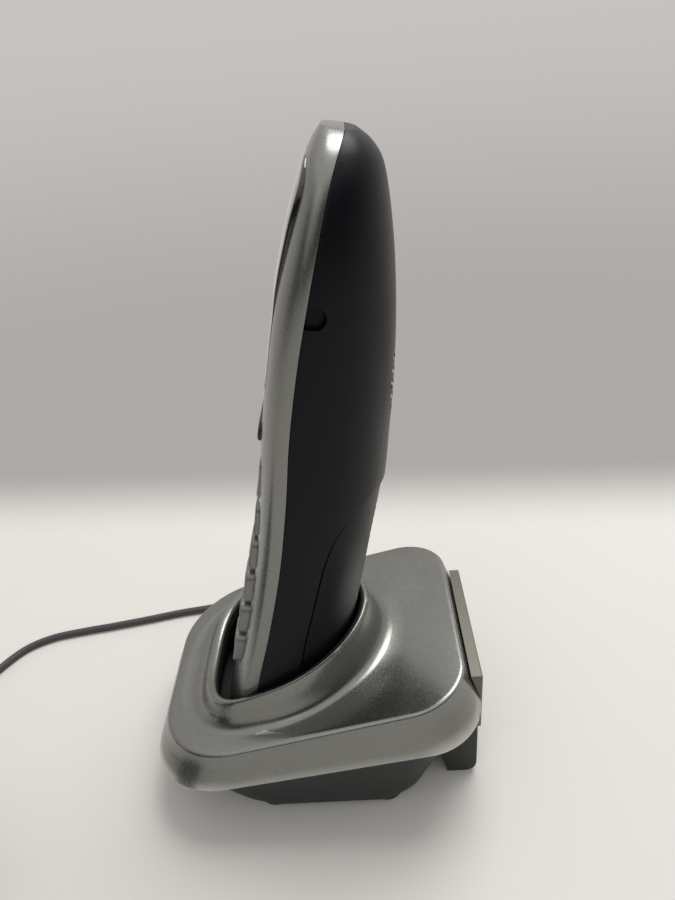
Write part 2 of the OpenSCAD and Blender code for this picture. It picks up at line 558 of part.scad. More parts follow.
// Upright block at the back, seen from the side: [back, up], with its lower corner rounded
module rear_block() {
    r = 3;
    polygon(concat([[block_rear - 8, 0]], [for (a = [-90:15:0]) [block_rear - r + r * cos(a), r + r * sin(a)]],
        [[block_rear, hood_lo - 0.1], [block_rear - hood_step, hood_lo - 0.1], [block_rear - hood_step, hood_notch],
         [block_rear - 7, hood_notch], [block_rear - 11, 11]]));
}
module rear_hood() color(silver) translate([-hood_half, 0, 0]) rotate([90, 0, 90])
    linear_extrude(2 * hood_half) translate([block_rear, 0]) polygon([[-hood_step + 0.05, hood_lo],
        [hood_step, hood_lo], [hood_step, hood_hi - 0.6], [hood_step - 0.5, hood_hi], [-2.4, hood_hi],
        [0.15, hood_lean], [0.15, hood_inner], [-hood_step + 0.05, hood_inner]]);
module base_board() color(board_green) difference() {
    translate([-23, -13, board_z]) cube([46, 34, board_thick]);
    for (s = [-1, 1]) translate([s * screw_x, screw_y, 0]) cylinder(r = 4.2, h = 12);
    for (x = [-1, 1]) for (y = [-12, 17.7]) translate([x * 23.2, y, 0]) cylinder(r = 5.2, h = 12);
}
module power_jack() color(black) difference() {
    union() {
        translate([jack_back - 10, plug_y - 4.5, board_z + board_thick]) cube([10, 9, 10.5]);
        translate([jack_mouth, plug_y, plug_z]) rotate([0, 90, 0]) cylinder(r = 4, h = 4);
    }
    translate([jack_mouth - 1, plug_y, plug_z]) rotate([0, 90, 0]) difference() {
        cylinder(r = 2.85, h = 10.5);
        cylinder(r = 0.9, h = 10.5);
    }
}
module line_jack() color(black) difference() {
    translate([-6, block_rear - 13, 6]) cube([12, 12.6, 10]);
    translate([-4.85, block_rear - 10, 7.6]) cube([9.7, 12, 6.6]);
}
module base_feet() color(rubber_grey) for (x = [-1, 1]) for (y = [-12, 17.7])
    translate([x * 23.2, y, 0]) cylinder(r = 4.8, h = floor_z + 0.45);
module base_screws() color(steel) for (s = [-1, 1]) translate([s * screw_x, screw_y, 0]) {
    translate([0, 0, floor_z + 2.2]) cylinder(r = 2.7, h = 1.75);
    translate([0, 0, floor_z + 3]) cylinder(r = 1.25, h = 17);
}

// ---- Cord and adaptor ----
module power_plug() color(black) translate([0, plug_y, plug_z]) rotate([0, 90, 0]) {
    translate([0, 0, plug_tip[0] + 4]) cylinder(r = 3.9, h = 17.7);
    translate([0, 0, jack_mouth - 0.2]) difference() {
        cylinder(r = 2.75, h = 9);
        cylinder(r = 1, h = 10);
    }
    translate([0, 0, plug_tip[0]]) cylinder(r = 2.2, h = 4);
}
module power_cord() color(black) {
    tube(route, cord_r);
    tube(tail, cord_r);
}
module cord_coil() color(black) translate([coil_at[0], coil_at[1], bundle / 2])
    rotate_extrude() translate([coil_d / 2, 0]) slab2d(bundle, bundle - 0.2, 3);
module adaptor_frame() translate([adaptor_at[0], adaptor_at[1], adaptor_size[2] / 2]) rotate([90, 0, 0])
    children();
pin_pitch = 18.6;
pin_r = 2;
pin_len = 19;
pin_root = 2;
pin_sleeve = 2.6;
pin_cone = 0.6;
module adaptor_body() color(black) adaptor_frame() {
    l = adaptor_size[1];
    difference() {
        translate([0, 0, -l / 2]) linear_extrude(l) slab2d(adaptor_size[0], adaptor_size[2], 5);
        for (s = [-1, 1]) translate([s * pin_pitch / 2, 0, l / 2 - pin_root]) cylinder(r = pin_sleeve + 0.02, h = 9);
    }
    translate([0, 0, -l / 2 - 4]) cylinder(r = 2.4, h = 4.5);
}
module adaptor_pins() color(steel) adaptor_frame() for (s = [-1, 1])
    translate([s * pin_pitch / 2, 0, adaptor_size[1] / 2]) {
        translate([0, 0, -pin_root]) cylinder(r = pin_sleeve, h = pin_root);
        cylinder(r1 = pin_sleeve, r2 = pin_r, h = pin_cone);
        translate([0, 0, pin_cone]) cylinder(r = pin_r, h = pin_len - pin_cone);
    }

base_cover();
cradle_pocket();
base_case();
rear_hood();
base_board();
power_jack();
line_jack();
base_feet();
base_screws();
contact_left();
contact_right();
power_plug();
power_cord();
cord_coil();
adaptor_body();
adaptor_pins();
front_frame();
faceplate();
display_lens();
lcd_module();
earpiece();
keypad_mat();
microphone();
handset_board();
rear_shell();
ringer_speaker();
battery_left();
battery_right();
battery_springs();
battery_plates();
antenna();
charge_pads();
handset_screws();
battery_cover();
nav_key();
for (k = key_layout())
    color(k[0] == "talk_key" || k[0] == "end_key" ? steel : silver) key(k[1], k[2], k[3], k[4]);
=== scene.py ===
"""Cordless telephone on its charging base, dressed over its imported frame.

Lengths in the functions are millimetres and become metres when a mesh is made. The handset is
drawn in its own frame: x across, v deep (front negative), w along its length.
"""

import math

import bmesh
import bpy
from bpy.props import FloatProperty, FloatVectorProperty, IntProperty, PointerProperty
from bpy.types import Operator, Panel, PropertyGroup
from mathutils import Matrix, Vector


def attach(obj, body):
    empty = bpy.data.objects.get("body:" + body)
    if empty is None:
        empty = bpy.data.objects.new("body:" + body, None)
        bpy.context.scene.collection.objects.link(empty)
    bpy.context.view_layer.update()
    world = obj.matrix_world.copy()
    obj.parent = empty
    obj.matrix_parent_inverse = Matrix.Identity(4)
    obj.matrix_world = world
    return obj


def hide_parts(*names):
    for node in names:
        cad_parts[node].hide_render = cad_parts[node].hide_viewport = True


bl_info = {
    "name": "Cordless telephone",
    "version": (1, 0, 0),
    "blender": (4, 5, 0),
    "location": "3D View > Sidebar > Telephone",
    "description": "Builds a cordless handset, its charging base, the mains cord and the studio",
    "category": "Object",
}

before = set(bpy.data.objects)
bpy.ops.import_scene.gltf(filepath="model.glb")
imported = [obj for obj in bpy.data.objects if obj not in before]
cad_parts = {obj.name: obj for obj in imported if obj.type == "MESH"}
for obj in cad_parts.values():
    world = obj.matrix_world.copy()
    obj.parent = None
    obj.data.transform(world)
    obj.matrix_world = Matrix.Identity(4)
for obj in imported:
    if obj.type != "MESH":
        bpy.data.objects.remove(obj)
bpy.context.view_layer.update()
MM = 0.001


# ---------------------------------------------------------------- sizes and colours


def colour(name, description, value):
    return FloatVectorProperty(
        name=name, description=description, default=value, size=3, subtype="COLOR", min=0, max=1
    )


def length(name, description, value):
    return FloatProperty(
        name=name, description=description, default=value * MM, unit="LENGTH", subtype="DISTANCE"
    )


class HandsetSizes(PropertyGroup):
    edge: length("Shell edge", "Round on the edges where the two shells meet", 0.28)
    key_round: length("Key edge", "Round on the edge of a key", 0.75)
    key_dish: length("Key dish", "How deep a key's face is hollowed in its middle", 0.35)
    digit_height: length("Digit height", "Height of the digits on the keys", 3.1)
    opening_round: length("Opening edge", "Break on the edges of the key openings", 0.25)


class BaseSizes(PropertyGroup):
    crest_round: length("Crest round", "Round on the rim of the cradle", 1.3)
    plate_round: length("Plate round", "Round where the plate turns into the skirt", 1.3)
    turns: IntProperty(
        name="Steps round", description="Steps round the base's outline", default=240, min=90, max=720
    )


class CordSizes(PropertyGroup):
    diameter: length("Cord diameter", "Diameter of the power cord", 2.4)
    coil: length("Coil diameter", "Diameter of the coil at the middle of its turns", 27)


class FinishColours(PropertyGroup):
    silver: colour("Silver paint", "Paint on the frame and the base", (0.235, 0.236, 0.222))
    key_silver: colour("Key silver", "Paint on the keys", (0.215, 0.214, 0.205))
    charcoal: colour("Charcoal", "Plastic of the rear shell and battery cover", (0.0035, 0.0042, 0.0058))
    # The hood's colour is the silver paint made darker and warmer: painted shade on the same paint.
    hood: colour("Hood", "Paint of the strip at the back of the base", (0.165, 0.155, 0.125))
    case: colour("Case grey", "Plastic of the base's lower case", (0.017, 0.020, 0.019))
    black: colour("Black", "Gloss and satin black plastic", (0.008, 0.008, 0.009))
    rubber: colour("Rubber", "Feet and key mat", (0.018, 0.018, 0.019))
    cord: colour("Cord", "Sheath of the power cord", (0.045, 0.043, 0.040))
    print: colour("Print", "Digits printed on the keys", (0.012, 0.012, 0.014))
    floor: colour("Floor", "Ground under the phone", (0.74, 0.72, 0.68))
    wall: colour("Backdrop", "Tone behind the phone", (0.42, 0.40, 0.385))


# ---------------------------------------------------------------- curves of the construction

LEAN = math.radians(12)
DOCK_Y, DOCK_Z = -18.3, 16.0
UP = (0.0, math.sin(LEAN), math.cos(LEAN))
LOW, HIGH = 2.0, 152.0
HALF = [(2, 0.84), (3.5, 0.91), (7, 0.965), (16, 0.992), (40, 1), (112, 1), (128, 0.975),
        (138, 0.9), (144.5, 0.79), (148.5, 0.64), (151, 0.47), (152, 0.32)]
FRONT = [(2, -6.2), (4.5, -6.9), (10, -6.5), (20, -5.85), (30, -5.15), (42, -4.6), (54, -4.4),
         (66, -4.55), (80, -5.15), (95, -5.75), (110, -6), (122, -5.7), (134, -4.35), (142, -3.25),
         (147, -2.7), (150, -1.6), (152, -0.6)]
SEAM = [(2, 0.6), (25, 0.8), (41, 1.8), (60, 2.4), (78, 1.9), (94, 0.9), (110, 0.7), (124, 1.2),
        (138, 2), (146, 2.8), (152, 4)]
REAR = [(2, 21.2), (4, 23.2), (10, 24.1), (20, 24.4), (43, 24.6), (60, 24.6), (78, 24.6),
        (90, 23.6), (103, 22.3), (117, 20.3), (130, 17.7), (138, 15.6), (144, 13.7), (148, 11.9),
        (150.6, 9.3), (152, 6.7)]
COVER_SEAM = [(2, 10.6), (36, 10.7), (50, 11.5), (60, 12.1), (66, 13), (70, 14.3), (74, 16.8),
              (78, 20.6), (81, 25), (84, 40)]
FRONT_POWER, REAR_POWER = 3.2, 2.1
COVER_TOP, COVER_INSET, COVER_WALL = 78.6, 0.6, 1.2
WALL = 1.6
BAY_HALF, BAY_TOP, BAY_FLOOR = 12.7, 58.0, 10.0
KEY_BACK, KEY_SIDE, KEY_PROUD = -1.2, 14.3, 2.0
KEY_SHARE = [(24, 0.85), (29.1, 1.03), (39.1, 1.05), (49.1, 0.89), (59.1, 0.68), (69.1, 0.44), (80.1, 0.25)]
COLUMN, PITCH, TOP_ROW = 11.4, 10.0, 69.1
KEY_W, KEY_H, CALL_X, CALL_AT, CALL_W, CALL_H = 9.6, 9.2, 9.5, 80.1, 12.8, 10.2
KEYS = [("talk_key", -CALL_X, CALL_AT, CALL_W, CALL_H), ("end_key", CALL_X, CALL_AT, CALL_W, CALL_H)] + [
    (name, (c - 1) * COLUMN, TOP_ROW - PITCH * r, KEY_W, KEY_H)
    for r, row in enumerate([("key_1", "key_2", "key_3"), ("key_4", "key_5", "key_6"),
                             ("key_7", "key_8", "key_9"), ("key_star", "key_0", "key_hash"),
                             ("redial_key", "hold_key", "intercom_key")])
    for c, name in enumerate(row)]
# Place across and along, width and height of the rocking key
NAV = (0, 89.7, 24.0, 5.2)
NAV_PIVOT_V = -3.0
PLATE_AT, PLATE_W, PLATE_H = 122, 30, 50
WINDOW_AT, WINDOW_W, WINDOW_H, MASK_V = 111, 27, 20, -3.75
EAR_AT, EAR_PITCH, SPEAKER_AT, SPEAKER_PITCH, SLOT_H, SLOT_R = 136, 2.5, 103, 3, 1.2, 0.55
NOTCH_AT, NOTCH_BACK, NOTCH_R = 120.6, 2.9, 2.1
GRIP_RIDGES, GRIP_HALF = (62, 64, 66, 68, 70), 7.5
PLATE_SWELL = [(97, 0), (116, 0), (122, 0.35), (130, 0.75), (139, 1), (144, 0.65), (147, 0.3)]


def mix(a, b, t):
    return a + (b - a) * t


def curve(x, points):
    """Smooth curve through points, whose slopes come from the neighbours."""
    i = 0
    while i < len(points) - 2 and x >= points[i + 1][0]:
        i += 1

    def slope(k):
        a, b = points[max(0, k - 1)], points[min(len(points) - 1, k + 1)]
        return (b[1] - a[1]) / (b[0] - a[0])

    (x0, a), (x1, b) = points[i], points[i + 1]
    h = x1 - x0
    t = (x - x0) / h
    m0, m1 = slope(i) * h, slope(i + 1) * h
    return a + t * (m0 + t * (3 * (b - a) - 2 * m0 - m1 + t * (2 * (a - b) + m0 + m1)))


def power(value, exponent):
    return math.copysign(abs(value) ** exponent, value)


def half_at(w):
    return 22 * curve(w, HALF)


def front_at(w):
    return curve(w, FRONT)


def seam_at(w):
    return curve(w, SEAM)


def rear_at(w):
    return curve(w, REAR)


def cover_seam_at(w):
    return curve(min(w, 84), COVER_SEAM)


def bulge(u, p):
    return max(0.0, 1 - min(1.0, abs(u)) ** p) ** (1 / p)


def front_skin(x, w):
    s = seam_at(w)
    return s - (s - front_at(w)) * bulge(x / half_at(w), FRONT_POWER)


def dock(x, v, w):
    """Point of the handset's own frame, docked in the base."""
    return (x, DOCK_Y + v * math.cos(LEAN) + w * math.sin(LEAN),
            DOCK_Z - v * math.sin(LEAN) + w * math.cos(LEAN))


def plate_rise(w):
    """How far the front plate stands out of the frame at this height."""
    return 0.1 + 0.8 * curve(min(max(w, 97), 147), PLATE_SWELL)


def key_top(w):
    return front_skin(KEY_SIDE, w) - KEY_PROUD * curve(w, KEY_SHARE)


def spread(a, b, step):
    n = max(1, round((b - a) / step))
    return [mix(a, b, i / n) for i in range(n + 1)]


# ---------------------------------------------------------------- meshes


def loft(loops, ring=False, closed=True):
    """Points and faces of a skin over loops of points. With ring the last loop joins the first,
    otherwise both ends get a cap. Loops that aren't closed make a sheet."""
    n, m = len(loops[0]), len(loops)
    points = [p for loop in loops for p in loop]
    faces = []
    for i in range(m if ring else m - 1):
        i2 = (i + 1) % m
        for j in range(n if closed else n - 1):
            k = (j + 1) % n
            faces.append((i * n + j, i2 * n + j, i2 * n + k, i * n + k))
    if not ring and closed:
        faces.append(tuple(reversed(range(n))))
        faces.append(tuple(range((m - 1) * n, m * n)))
    return points, faces


def join(*parts):
    points, faces = [], []
    for more_points, more_faces in parts:
        shift = len(points)
        points += more_points
        faces += [tuple(i + shift for i in f) for f in more_faces]
    return points, faces


def make_mesh(name, points, faces, docked=False, angle=32):
    mesh = bpy.data.meshes.new(name)
    if docked:
        points = [dock(*p) for p in points]
    mesh.from_pydata([[c * MM for c in p] for p in points], [], faces)
    tidy = bmesh.new()
    tidy.from_mesh(mesh)
    bmesh.ops.remove_doubles(tidy, verts=tidy.verts, dist=1e-7)
    bmesh.ops.recalc_face_normals(tidy, faces=tidy.faces)
    tidy.to_mesh(mesh)
    tidy.free()
    mesh.shade_smooth()
    mesh.set_sharp_from_angle(angle=math.radians(angle))
    piece = bpy.data.objects.new(name, mesh)
    bpy.context.scene.collection.objects.link(piece)
    return piece


def apply_modifiers(piece, angle=32):
    bpy.context.view_layer.update()
    evaluated = piece.evaluated_get(bpy.context.evaluated_depsgraph_get())
    mesh = bpy.data.meshes.new_from_object(evaluated)
    old = piece.data
    piece.modifiers.clear()
    piece.data = mesh
    bpy.data.meshes.remove(old)
    mesh.shade_smooth()
    mesh.set_sharp_from_angle(angle=math.radians(angle))
    return piece


def cut(piece, parts, docked=False, angle=32):
    """Takes the solids out of the piece."""
    tool = make_mesh(piece.name + ".tool", *join(*parts), docked=docked)
    step = piece.modifiers.new("cut", "BOOLEAN")
    step.operation = "DIFFERENCE"
    step.solver = "EXACT"
    step.object = tool
    apply_modifiers(piece, angle)
    mesh = tool.data
    bpy.data.objects.remove(tool)
    bpy.data.meshes.remove(mesh)
    if len(piece.data.polygons) < 10:
        raise RuntimeError(f"{piece.name} was lost in its cut")
    return piece


def fit(piece, body, finish, slot, *nodes):
    """Puts the finish on a piece, lets it ride on its body and stand for its solids."""
    piece.data.materials.clear()
    piece.data.materials.append(finish)
    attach(piece, body)
    if nodes:
        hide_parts(*nodes)
    return piece


def rounded(width, height, r, n=8):
    """Rounded rectangle about the middle, as points in order."""
    points = []
    for q, (sx, sy) in enumerate([(1, 1), (-1, 1), (-1, -1), (1, -1)]):
        for i in range(n + 1):
            a = math.radians(90 * (q + i / n))
            points.append((sx * (width / 2 - r) + r * math.cos(a),
                           sy * (height / 2 - r) + r * math.sin(a)))
    return points


def finer(points, step=2.5):
    """The outline with extra points on its long straight stretches."""
    result = []
    for (a, b), (c, d) in zip(points, points[1:] + points[:1]):
        n = max(1, math.ceil(math.hypot(c - a, d - b) / step))
        result += [(mix(a, c, i / n), mix(b, d, i / n)) for i in range(n)]
    return result


def plug_tool(x, w, width, height, r, v0, v1, flare=0.0, rise=None):
    """Cutter for an opening in the handset's front. With rise given it opens by flare where it
    meets the surface that stands that far out of the frame."""
    def ring_at(v, grow, follow):
        ring_points = [(x + a * (width / 2 + grow) / (width / 2), w + b * (height / 2 + grow) / (height / 2))
                       for a, b in finer(rounded(width, height, r))]
        if follow:
            return [(a, front_skin(a, b) - rise(b) + v, b) for a, b in ring_points]
        return [(a, v, b) for a, b in ring_points]
    levels = [ring_at(v1, 0, False)]
    if rise is not None:
        levels += [ring_at(1.4 * flare, 0, True), ring_at(0.5 * flare, 0.12 * flare, True),
                   ring_at(0, 0.5 * flare, True), ring_at(-flare, 1.6 * flare, True)]
    return loft(levels + [ring_at(v0, 1.6 * flare if rise else 0, False)])


def lathe(profile, origin, axis, steps=48):
    """Solid of revolution: profile of (distance along the axis, radius)."""
    axis = Vector(axis).normalized()
    side = axis.orthogonal().normalized()
    up = axis.cross(side)
    turns = [2 * math.pi * i / steps for i in range(steps)]
    return loft([[tuple(Vector(origin) + axis * d + (side * math.cos(a) + up * math.sin(a)) * max(r, 1e-3))
                  for a in turns] for d, r in profile])


def soft_ends(profile_start, profile_end, r, round_by, n=4):
    """Profile of a rod whose two end edges are rounded."""
    steps = [math.radians(90 * i / n) for i in range(n + 1)]
    first = [(profile_start + round_by * (1 - math.sin(a)), r - round_by * (1 - math.cos(a)))
             for a in reversed(steps)]
    last = [(profile_end - round_by * (1 - math.sin(a)), r - round_by * (1 - math.cos(a)))
            for a in steps]
    return first + last


def sweep(route, radius, steps=12):
    """Tube along a route of points."""
    points = [Vector(p) for p in route]
    last = len(points) - 1
    side = None
    loops = []
    for i, p in enumerate(points):
        ahead = (points[min(last, i + 1)] - points[max(0, i - 1)]).normalized()
        if side is None:
            side = ahead.orthogonal().normalized()
        side = (side - ahead * side.dot(ahead)).normalized()
        up = ahead.cross(side)
        loops.append([tuple(p + (side * math.cos(a) + up * math.sin(a)) * radius)
                      for a in (2 * math.pi * k / steps for k in range(steps))])
    return loft(loops)


def dense(points, steps):
    """The construction's smooth way through the points, with that many steps in each span."""
    route = []
    last = len(points) - 1
    for i in range(last):
        a, b, c, d = (Vector(points[k]) for k in (max(0, i - 1), i, i + 1, min(last, i + 2)))
        for k in range(steps):
            t = k / steps
            route.append(b + t * ((c - a) / 2 + t * ((2 * a - 5 * b + 4 * c - d) / 2
                                                     + t * (3 * b - a - 3 * c + d) / 2)))
    return route + [Vector(points[-1])]


# ---------------------------------------------------------------- finishes


class Value:
    """A shader socket that can stand in sums."""

    def __init__(self, maker, socket):
        self.maker, self.socket = maker, socket

    def _math(self, operation, *values, **settings):
        return self.maker.node("ShaderNodeMath", {"operation": operation, **settings},
                               dict(enumerate(values)))

    def __add__(self, other):
        return self._math("ADD", self, other)

    def __sub__(self, other):
        return self._math("SUBTRACT", self, other)

    def __rsub__(self, other):
        return self._math("SUBTRACT", other, self)

    def __mul__(self, other):
        return self._math("MULTIPLY", self, other)

    __radd__, __rmul__ = __add__, __mul__

    def clamp(self):
        return self._math("ADD", self, 0.0, use_clamp=True)

    def above(self, start, end):
        """0 below start and 1 above end, smooth between them."""
        return self.maker.node("ShaderNodeMapRange", {"interpolation_type": "SMOOTHSTEP"},
                               {0: self, 1: start, 2: end})

    def root(self):
        return self._math("SQRT", self)

    def bigger(self, other):
        return self._math("MAXIMUM", self, other)


class Finish:
    """Maker of one material's nodes."""

    def __init__(self, name, tree=None):
        if tree is None:
            self.material = bpy.data.materials.new(name)
            self.material.use_nodes = True
            tree = self.material.node_tree
        tree.nodes.clear()
        self.tree = tree

    def node(self, kind, settings=None, values=None, output=0):
        made = self.tree.nodes.new(kind)
        for key, value in (settings or {}).items():
            setattr(made, key, value)
        for key, value in (values or {}).items():
            if isinstance(value, Value):
                self.tree.links.new(value.socket, made.inputs[key])
            else:
                made.inputs[key].default_value = value
        return Value(self, made.outputs[output] if made.outputs else None)

    def place(self):
        return self.node("ShaderNodeTexCoord", output=3)

    def parts(self, vector):
        split = self.node("ShaderNodeSeparateXYZ", values={0: vector}).socket.node
        return [Value(self, split.outputs[i]) for i in range(3)]

    def noise(self, per_mm, detail=3.0, stretch=None, rough=0.5):
        """Cloudy value about 0.5, with that many features in a millimetre."""
        where = self.place()
        if stretch:
            where = self.node("ShaderNodeMapping", values={0: where, 2: stretch[0], 3: stretch[1]})
        return self.node("ShaderNodeTexNoise", values={
            "Vector": where, "Scale": per_mm / MM, "Detail": detail, "Roughness": rough})

    def cells(self, per_mm, feature="F1", output=0):
        return self.node("ShaderNodeTexVoronoi", {"feature": feature},
                         {"Vector": self.place(), "Scale": per_mm / MM}, output)

    def blend(self, share, first, second):
        return self.node("ShaderNodeMix", {"data_type": "RGBA"},
                         {0: share, 6: tone(first), 7: tone(second)}, output=2)

    def bump(self, height, depth_mm, strength=1.0):
        return self.node("ShaderNodeBump", values={
            "Height": height, "Distance": depth_mm * MM, "Strength": strength})

    def shade(self, **values):
        """Principled shader with these sockets, as the material's surface."""
        names = {"base": "Base Color", "rough": "Roughness", "metal": "Metallic", "normal": "Normal",
                 "coat": "Coat Weight", "coat_rough": "Coat Roughness", "clear": "Transmission Weight",
                 "ior": "IOR", "specular": "Specular IOR Level"}
        shader = self.node("ShaderNodeBsdfPrincipled",
                           values={names[k]: tone(v) if k == "base" else v for k, v in values.items()})
        self.node("ShaderNodeOutputMaterial", values={0: shader})
        return self.material


def tone(value):
    return value if isinstance(value, Value) else (*value[:3], 1.0)


def lighter(value, by):
    return tuple(min(1.0, c * by) for c in value[:3])


MADE = {}


def finish(name):
    """The material of that name, made once."""
    if name not in MADE:
        MADE[name] = RECIPES[name](name)
    return MADE[name]


def silver_paint(name, base, flake=0.10, wear=1.0, metal=0.9, rough=0.30, edge=0.0):
    """Metallic paint over plastic: fine flake, faint clouds, dust specks, hairline scratches, and a
    highlight painted on sharp edges, which are also made glossier."""
    f = Finish(name)
    clouds = f.noise(0.05, 4)
    fine = f.noise(5.0, 2)
    grit = f.cells(3.2, output=1)
    sparkle = f.parts(grit)[0]
    specks = f.noise(1.6, 1, rough=0.4).above(0.735, 0.80)
    scratch = f.noise(0.9, 1, ((0.3, 0.2, 0.7), (6, 0.25, 1))).above(0.70, 0.74)
    other = f.noise(0.8, 1, ((1.1, 0.4, -0.5), (0.22, 5, 1))).above(0.71, 0.75)
    marks = (specks + scratch * 0.55 + other * 0.45).clamp() * wear
    level = (clouds * 0.16 + sparkle * flake + fine * 0.10).clamp()
    paint = f.blend(level * 2.2, lighter(base, 0.78), lighter(base, 1.22))
    paint = f.blend(marks * 0.55, paint, lighter(base, 2.1))
    # Sharp convex edges are painted lighter, a painted highlight, and are made a little glossier.
    edge_highlight = f.node("ShaderNodeNewGeometry", output=7).above(0.515, 0.56) * edge
    paint = f.blend(edge_highlight, paint, lighter(base, 2.6))
    return f.shade(base=paint, metal=metal,
                   rough=(clouds * 0.16 + sparkle * 0.06 + (rough - 0.1) + marks * 0.2 - edge_highlight * 0.06),
                   normal=f.bump(fine + sparkle * 0.35 - marks * 0.4, 0.006, 0.22), specular=0.5)


def moulded_plastic(name, base, grain=2.2, depth=0.02, rough=0.42, dust=0.5, specular=0.5, soft=0.10):
    """Moulded plastic: fine spark texture, slight clouds in its tone, dust and small scuffs."""
    f = Finish(name)
    clouds = f.noise(0.06, 4)
    fine = f.noise(grain, 2)
    pits = f.cells(grain * 0.8, output=0)
    specks = f.noise(1.4, 1, rough=0.4).above(0.74, 0.80)
    scuffs = f.noise(0.7, 2, ((0.4, 0.1, 0.9), (4, 0.3, 1))).above(0.68, 0.75)
    marks = (specks * dust + scuffs * dust * 0.5).clamp()
    body = f.blend((clouds * 0.8 + fine * 0.4).clamp(), lighter(base, 0.8), lighter(base, 1.25))
    body = f.blend(marks * 0.35 * dust, body, (0.22, 0.22, 0.21))
    return f.shade(base=body, rough=(clouds * soft * 2 + fine * 0.08 + (rough - soft) + marks * 0.2),
                   normal=f.bump(fine + pits * 0.5, depth, 0.5), specular=specular)


def soft_rubber(name, base):
    f = Finish(name)
    fine = f.noise(3.0, 3)
    clouds = f.noise(0.15, 3)
    dust = f.noise(0.8, 3).above(0.58, 0.75)
    body = f.blend(clouds.clamp(), lighter(base, 0.7), lighter(base, 1.4))
    body = f.blend(dust * 0.3, body, (0.16, 0.155, 0.15))
    return f.shade(base=body, rough=fine * 0.14 + 0.68, normal=f.bump(fine, 0.03, 0.5), specular=0.35)


def bare_metal(name, base, rough=0.24, brushed=(1, 1, 12)):
    f = Finish(name)
    lines = f.noise(1.2, 2, ((0, 0, 0), brushed))
    clouds = f.noise(0.25, 3)
    body = f.blend((lines * 0.6 + clouds * 0.4).clamp(), lighter(base, 0.75), lighter(base, 1.15))
    return f.shade(base=body, metal=1.0, rough=lines * 0.16 + (rough - 0.05) + clouds * 0.08,
                   normal=f.bump(lines, 0.01, 0.4))


def gloss_black(name, base):
    """Polished black window plastic, with faint hairlines and fingerprints."""
    f = Finish(name)
    clouds = f.noise(0.12, 4)
    hair = f.noise(1.4, 1, ((0.2, 0.5, 0.3), (7, 0.3, 1))).above(0.70, 0.74)
    smear = f.noise(0.2, 5).above(0.5, 0.72)
    body = f.blend(clouds.clamp(), lighter(base, 0.8), lighter(base, 1.5))
    return f.shade(base=body, rough=smear * 0.12 + 0.09 + hair * 0.2, coat=smear * -0.3 + 0.8,
                   coat_rough=0.06, normal=f.bump(clouds, 0.02, 0.12))


def window_glass(name):
    f = Finish(name)
    smear = f.noise(0.25, 4).above(0.5, 0.75)
    clouds = f.noise(0.1, 2)
    return f.shade(base=f.blend(clouds.clamp(), (0.80, 0.83, 0.78), (0.90, 0.92, 0.88)),
                   rough=smear * 0.08 + 0.03, clear=1.0, ior=1.46, normal=f.bump(clouds, 0.01, 0.1))


def lcd_panel(name):
    """Grey-green liquid crystal panel with its idle rows of cells just visible."""
    f = Finish(name)
    rows = f.node("ShaderNodeTexWave", {"wave_type": "BANDS", "bands_direction": "Z"},
                  {"Vector": f.place(), "Scale": 105.0}).above(0.4, 0.6)
    columns = f.node("ShaderNodeTexWave", {"wave_type": "BANDS", "bands_direction": "X"},
                     {"Vector": f.place(), "Scale": 90.0}).above(0.3, 0.7)
    clouds = f.noise(0.15, 2)
    panel = f.blend((rows * columns * 0.35 + clouds * 0.3).clamp(), (0.23, 0.26, 0.20), (0.17, 0.20, 0.15))
    return f.shade(base=panel, rough=clouds * 0.1 + 0.3)


def circuit_board(name):
    """Green solder resist with paler tracks and tinned spots."""
    f = Finish(name)
    tracks = f.cells(0.35, "DISTANCE_TO_EDGE").above(0.05, 0.09)
    spots = f.cells(0.5).above(0.16, 0.2)
    fine = f.noise(1.0, 2)
    body = f.blend(tracks, (0.03, 0.16, 0.07), (0.012, 0.08, 0.035))
    body = f.blend(1 - spots, body, (0.5, 0.5, 0.48))
    return f.shade(base=body, metal=(1 - spots) * 0.9, rough=fine * 0.15 + 0.28,
                   normal=f.bump(tracks, 0.03, 0.5))


def cell_wrap(name):
    """Shrink sleeve of a rechargeable cell: green, with a pale band and fine wrinkles."""
    f = Finish(name)
    z = f.parts(f.place())[2]
    band = (z * 1000 - 64).above(0, 0.6) * (1 - (z * 1000 - 68).above(0, 0.6))
    wrinkle = f.noise(0.4, 3, ((0, 0, 0), (1, 1, 0.2)))
    body = f.blend(band, (0.02, 0.13, 0.06), (0.5, 0.5, 0.48))
    body = f.blend(wrinkle.above(0.6, 0.8) * 0.3, body, (0.10, 0.25, 0.14))
    return f.shade(base=body, rough=wrinkle * 0.2 + 0.25, normal=f.bump(wrinkle, 0.05, 0.4))


def print_ink(name, base):
    f = Finish(name)
    fine = f.noise(4.0, 2)
    return f.shade(base=f.blend(fine.clamp(), lighter(base, 0.8), lighter(base, 1.6)),
                   rough=fine * 0.1 + 0.4)


def colours():
    return bpy.context.scene.phone_colours


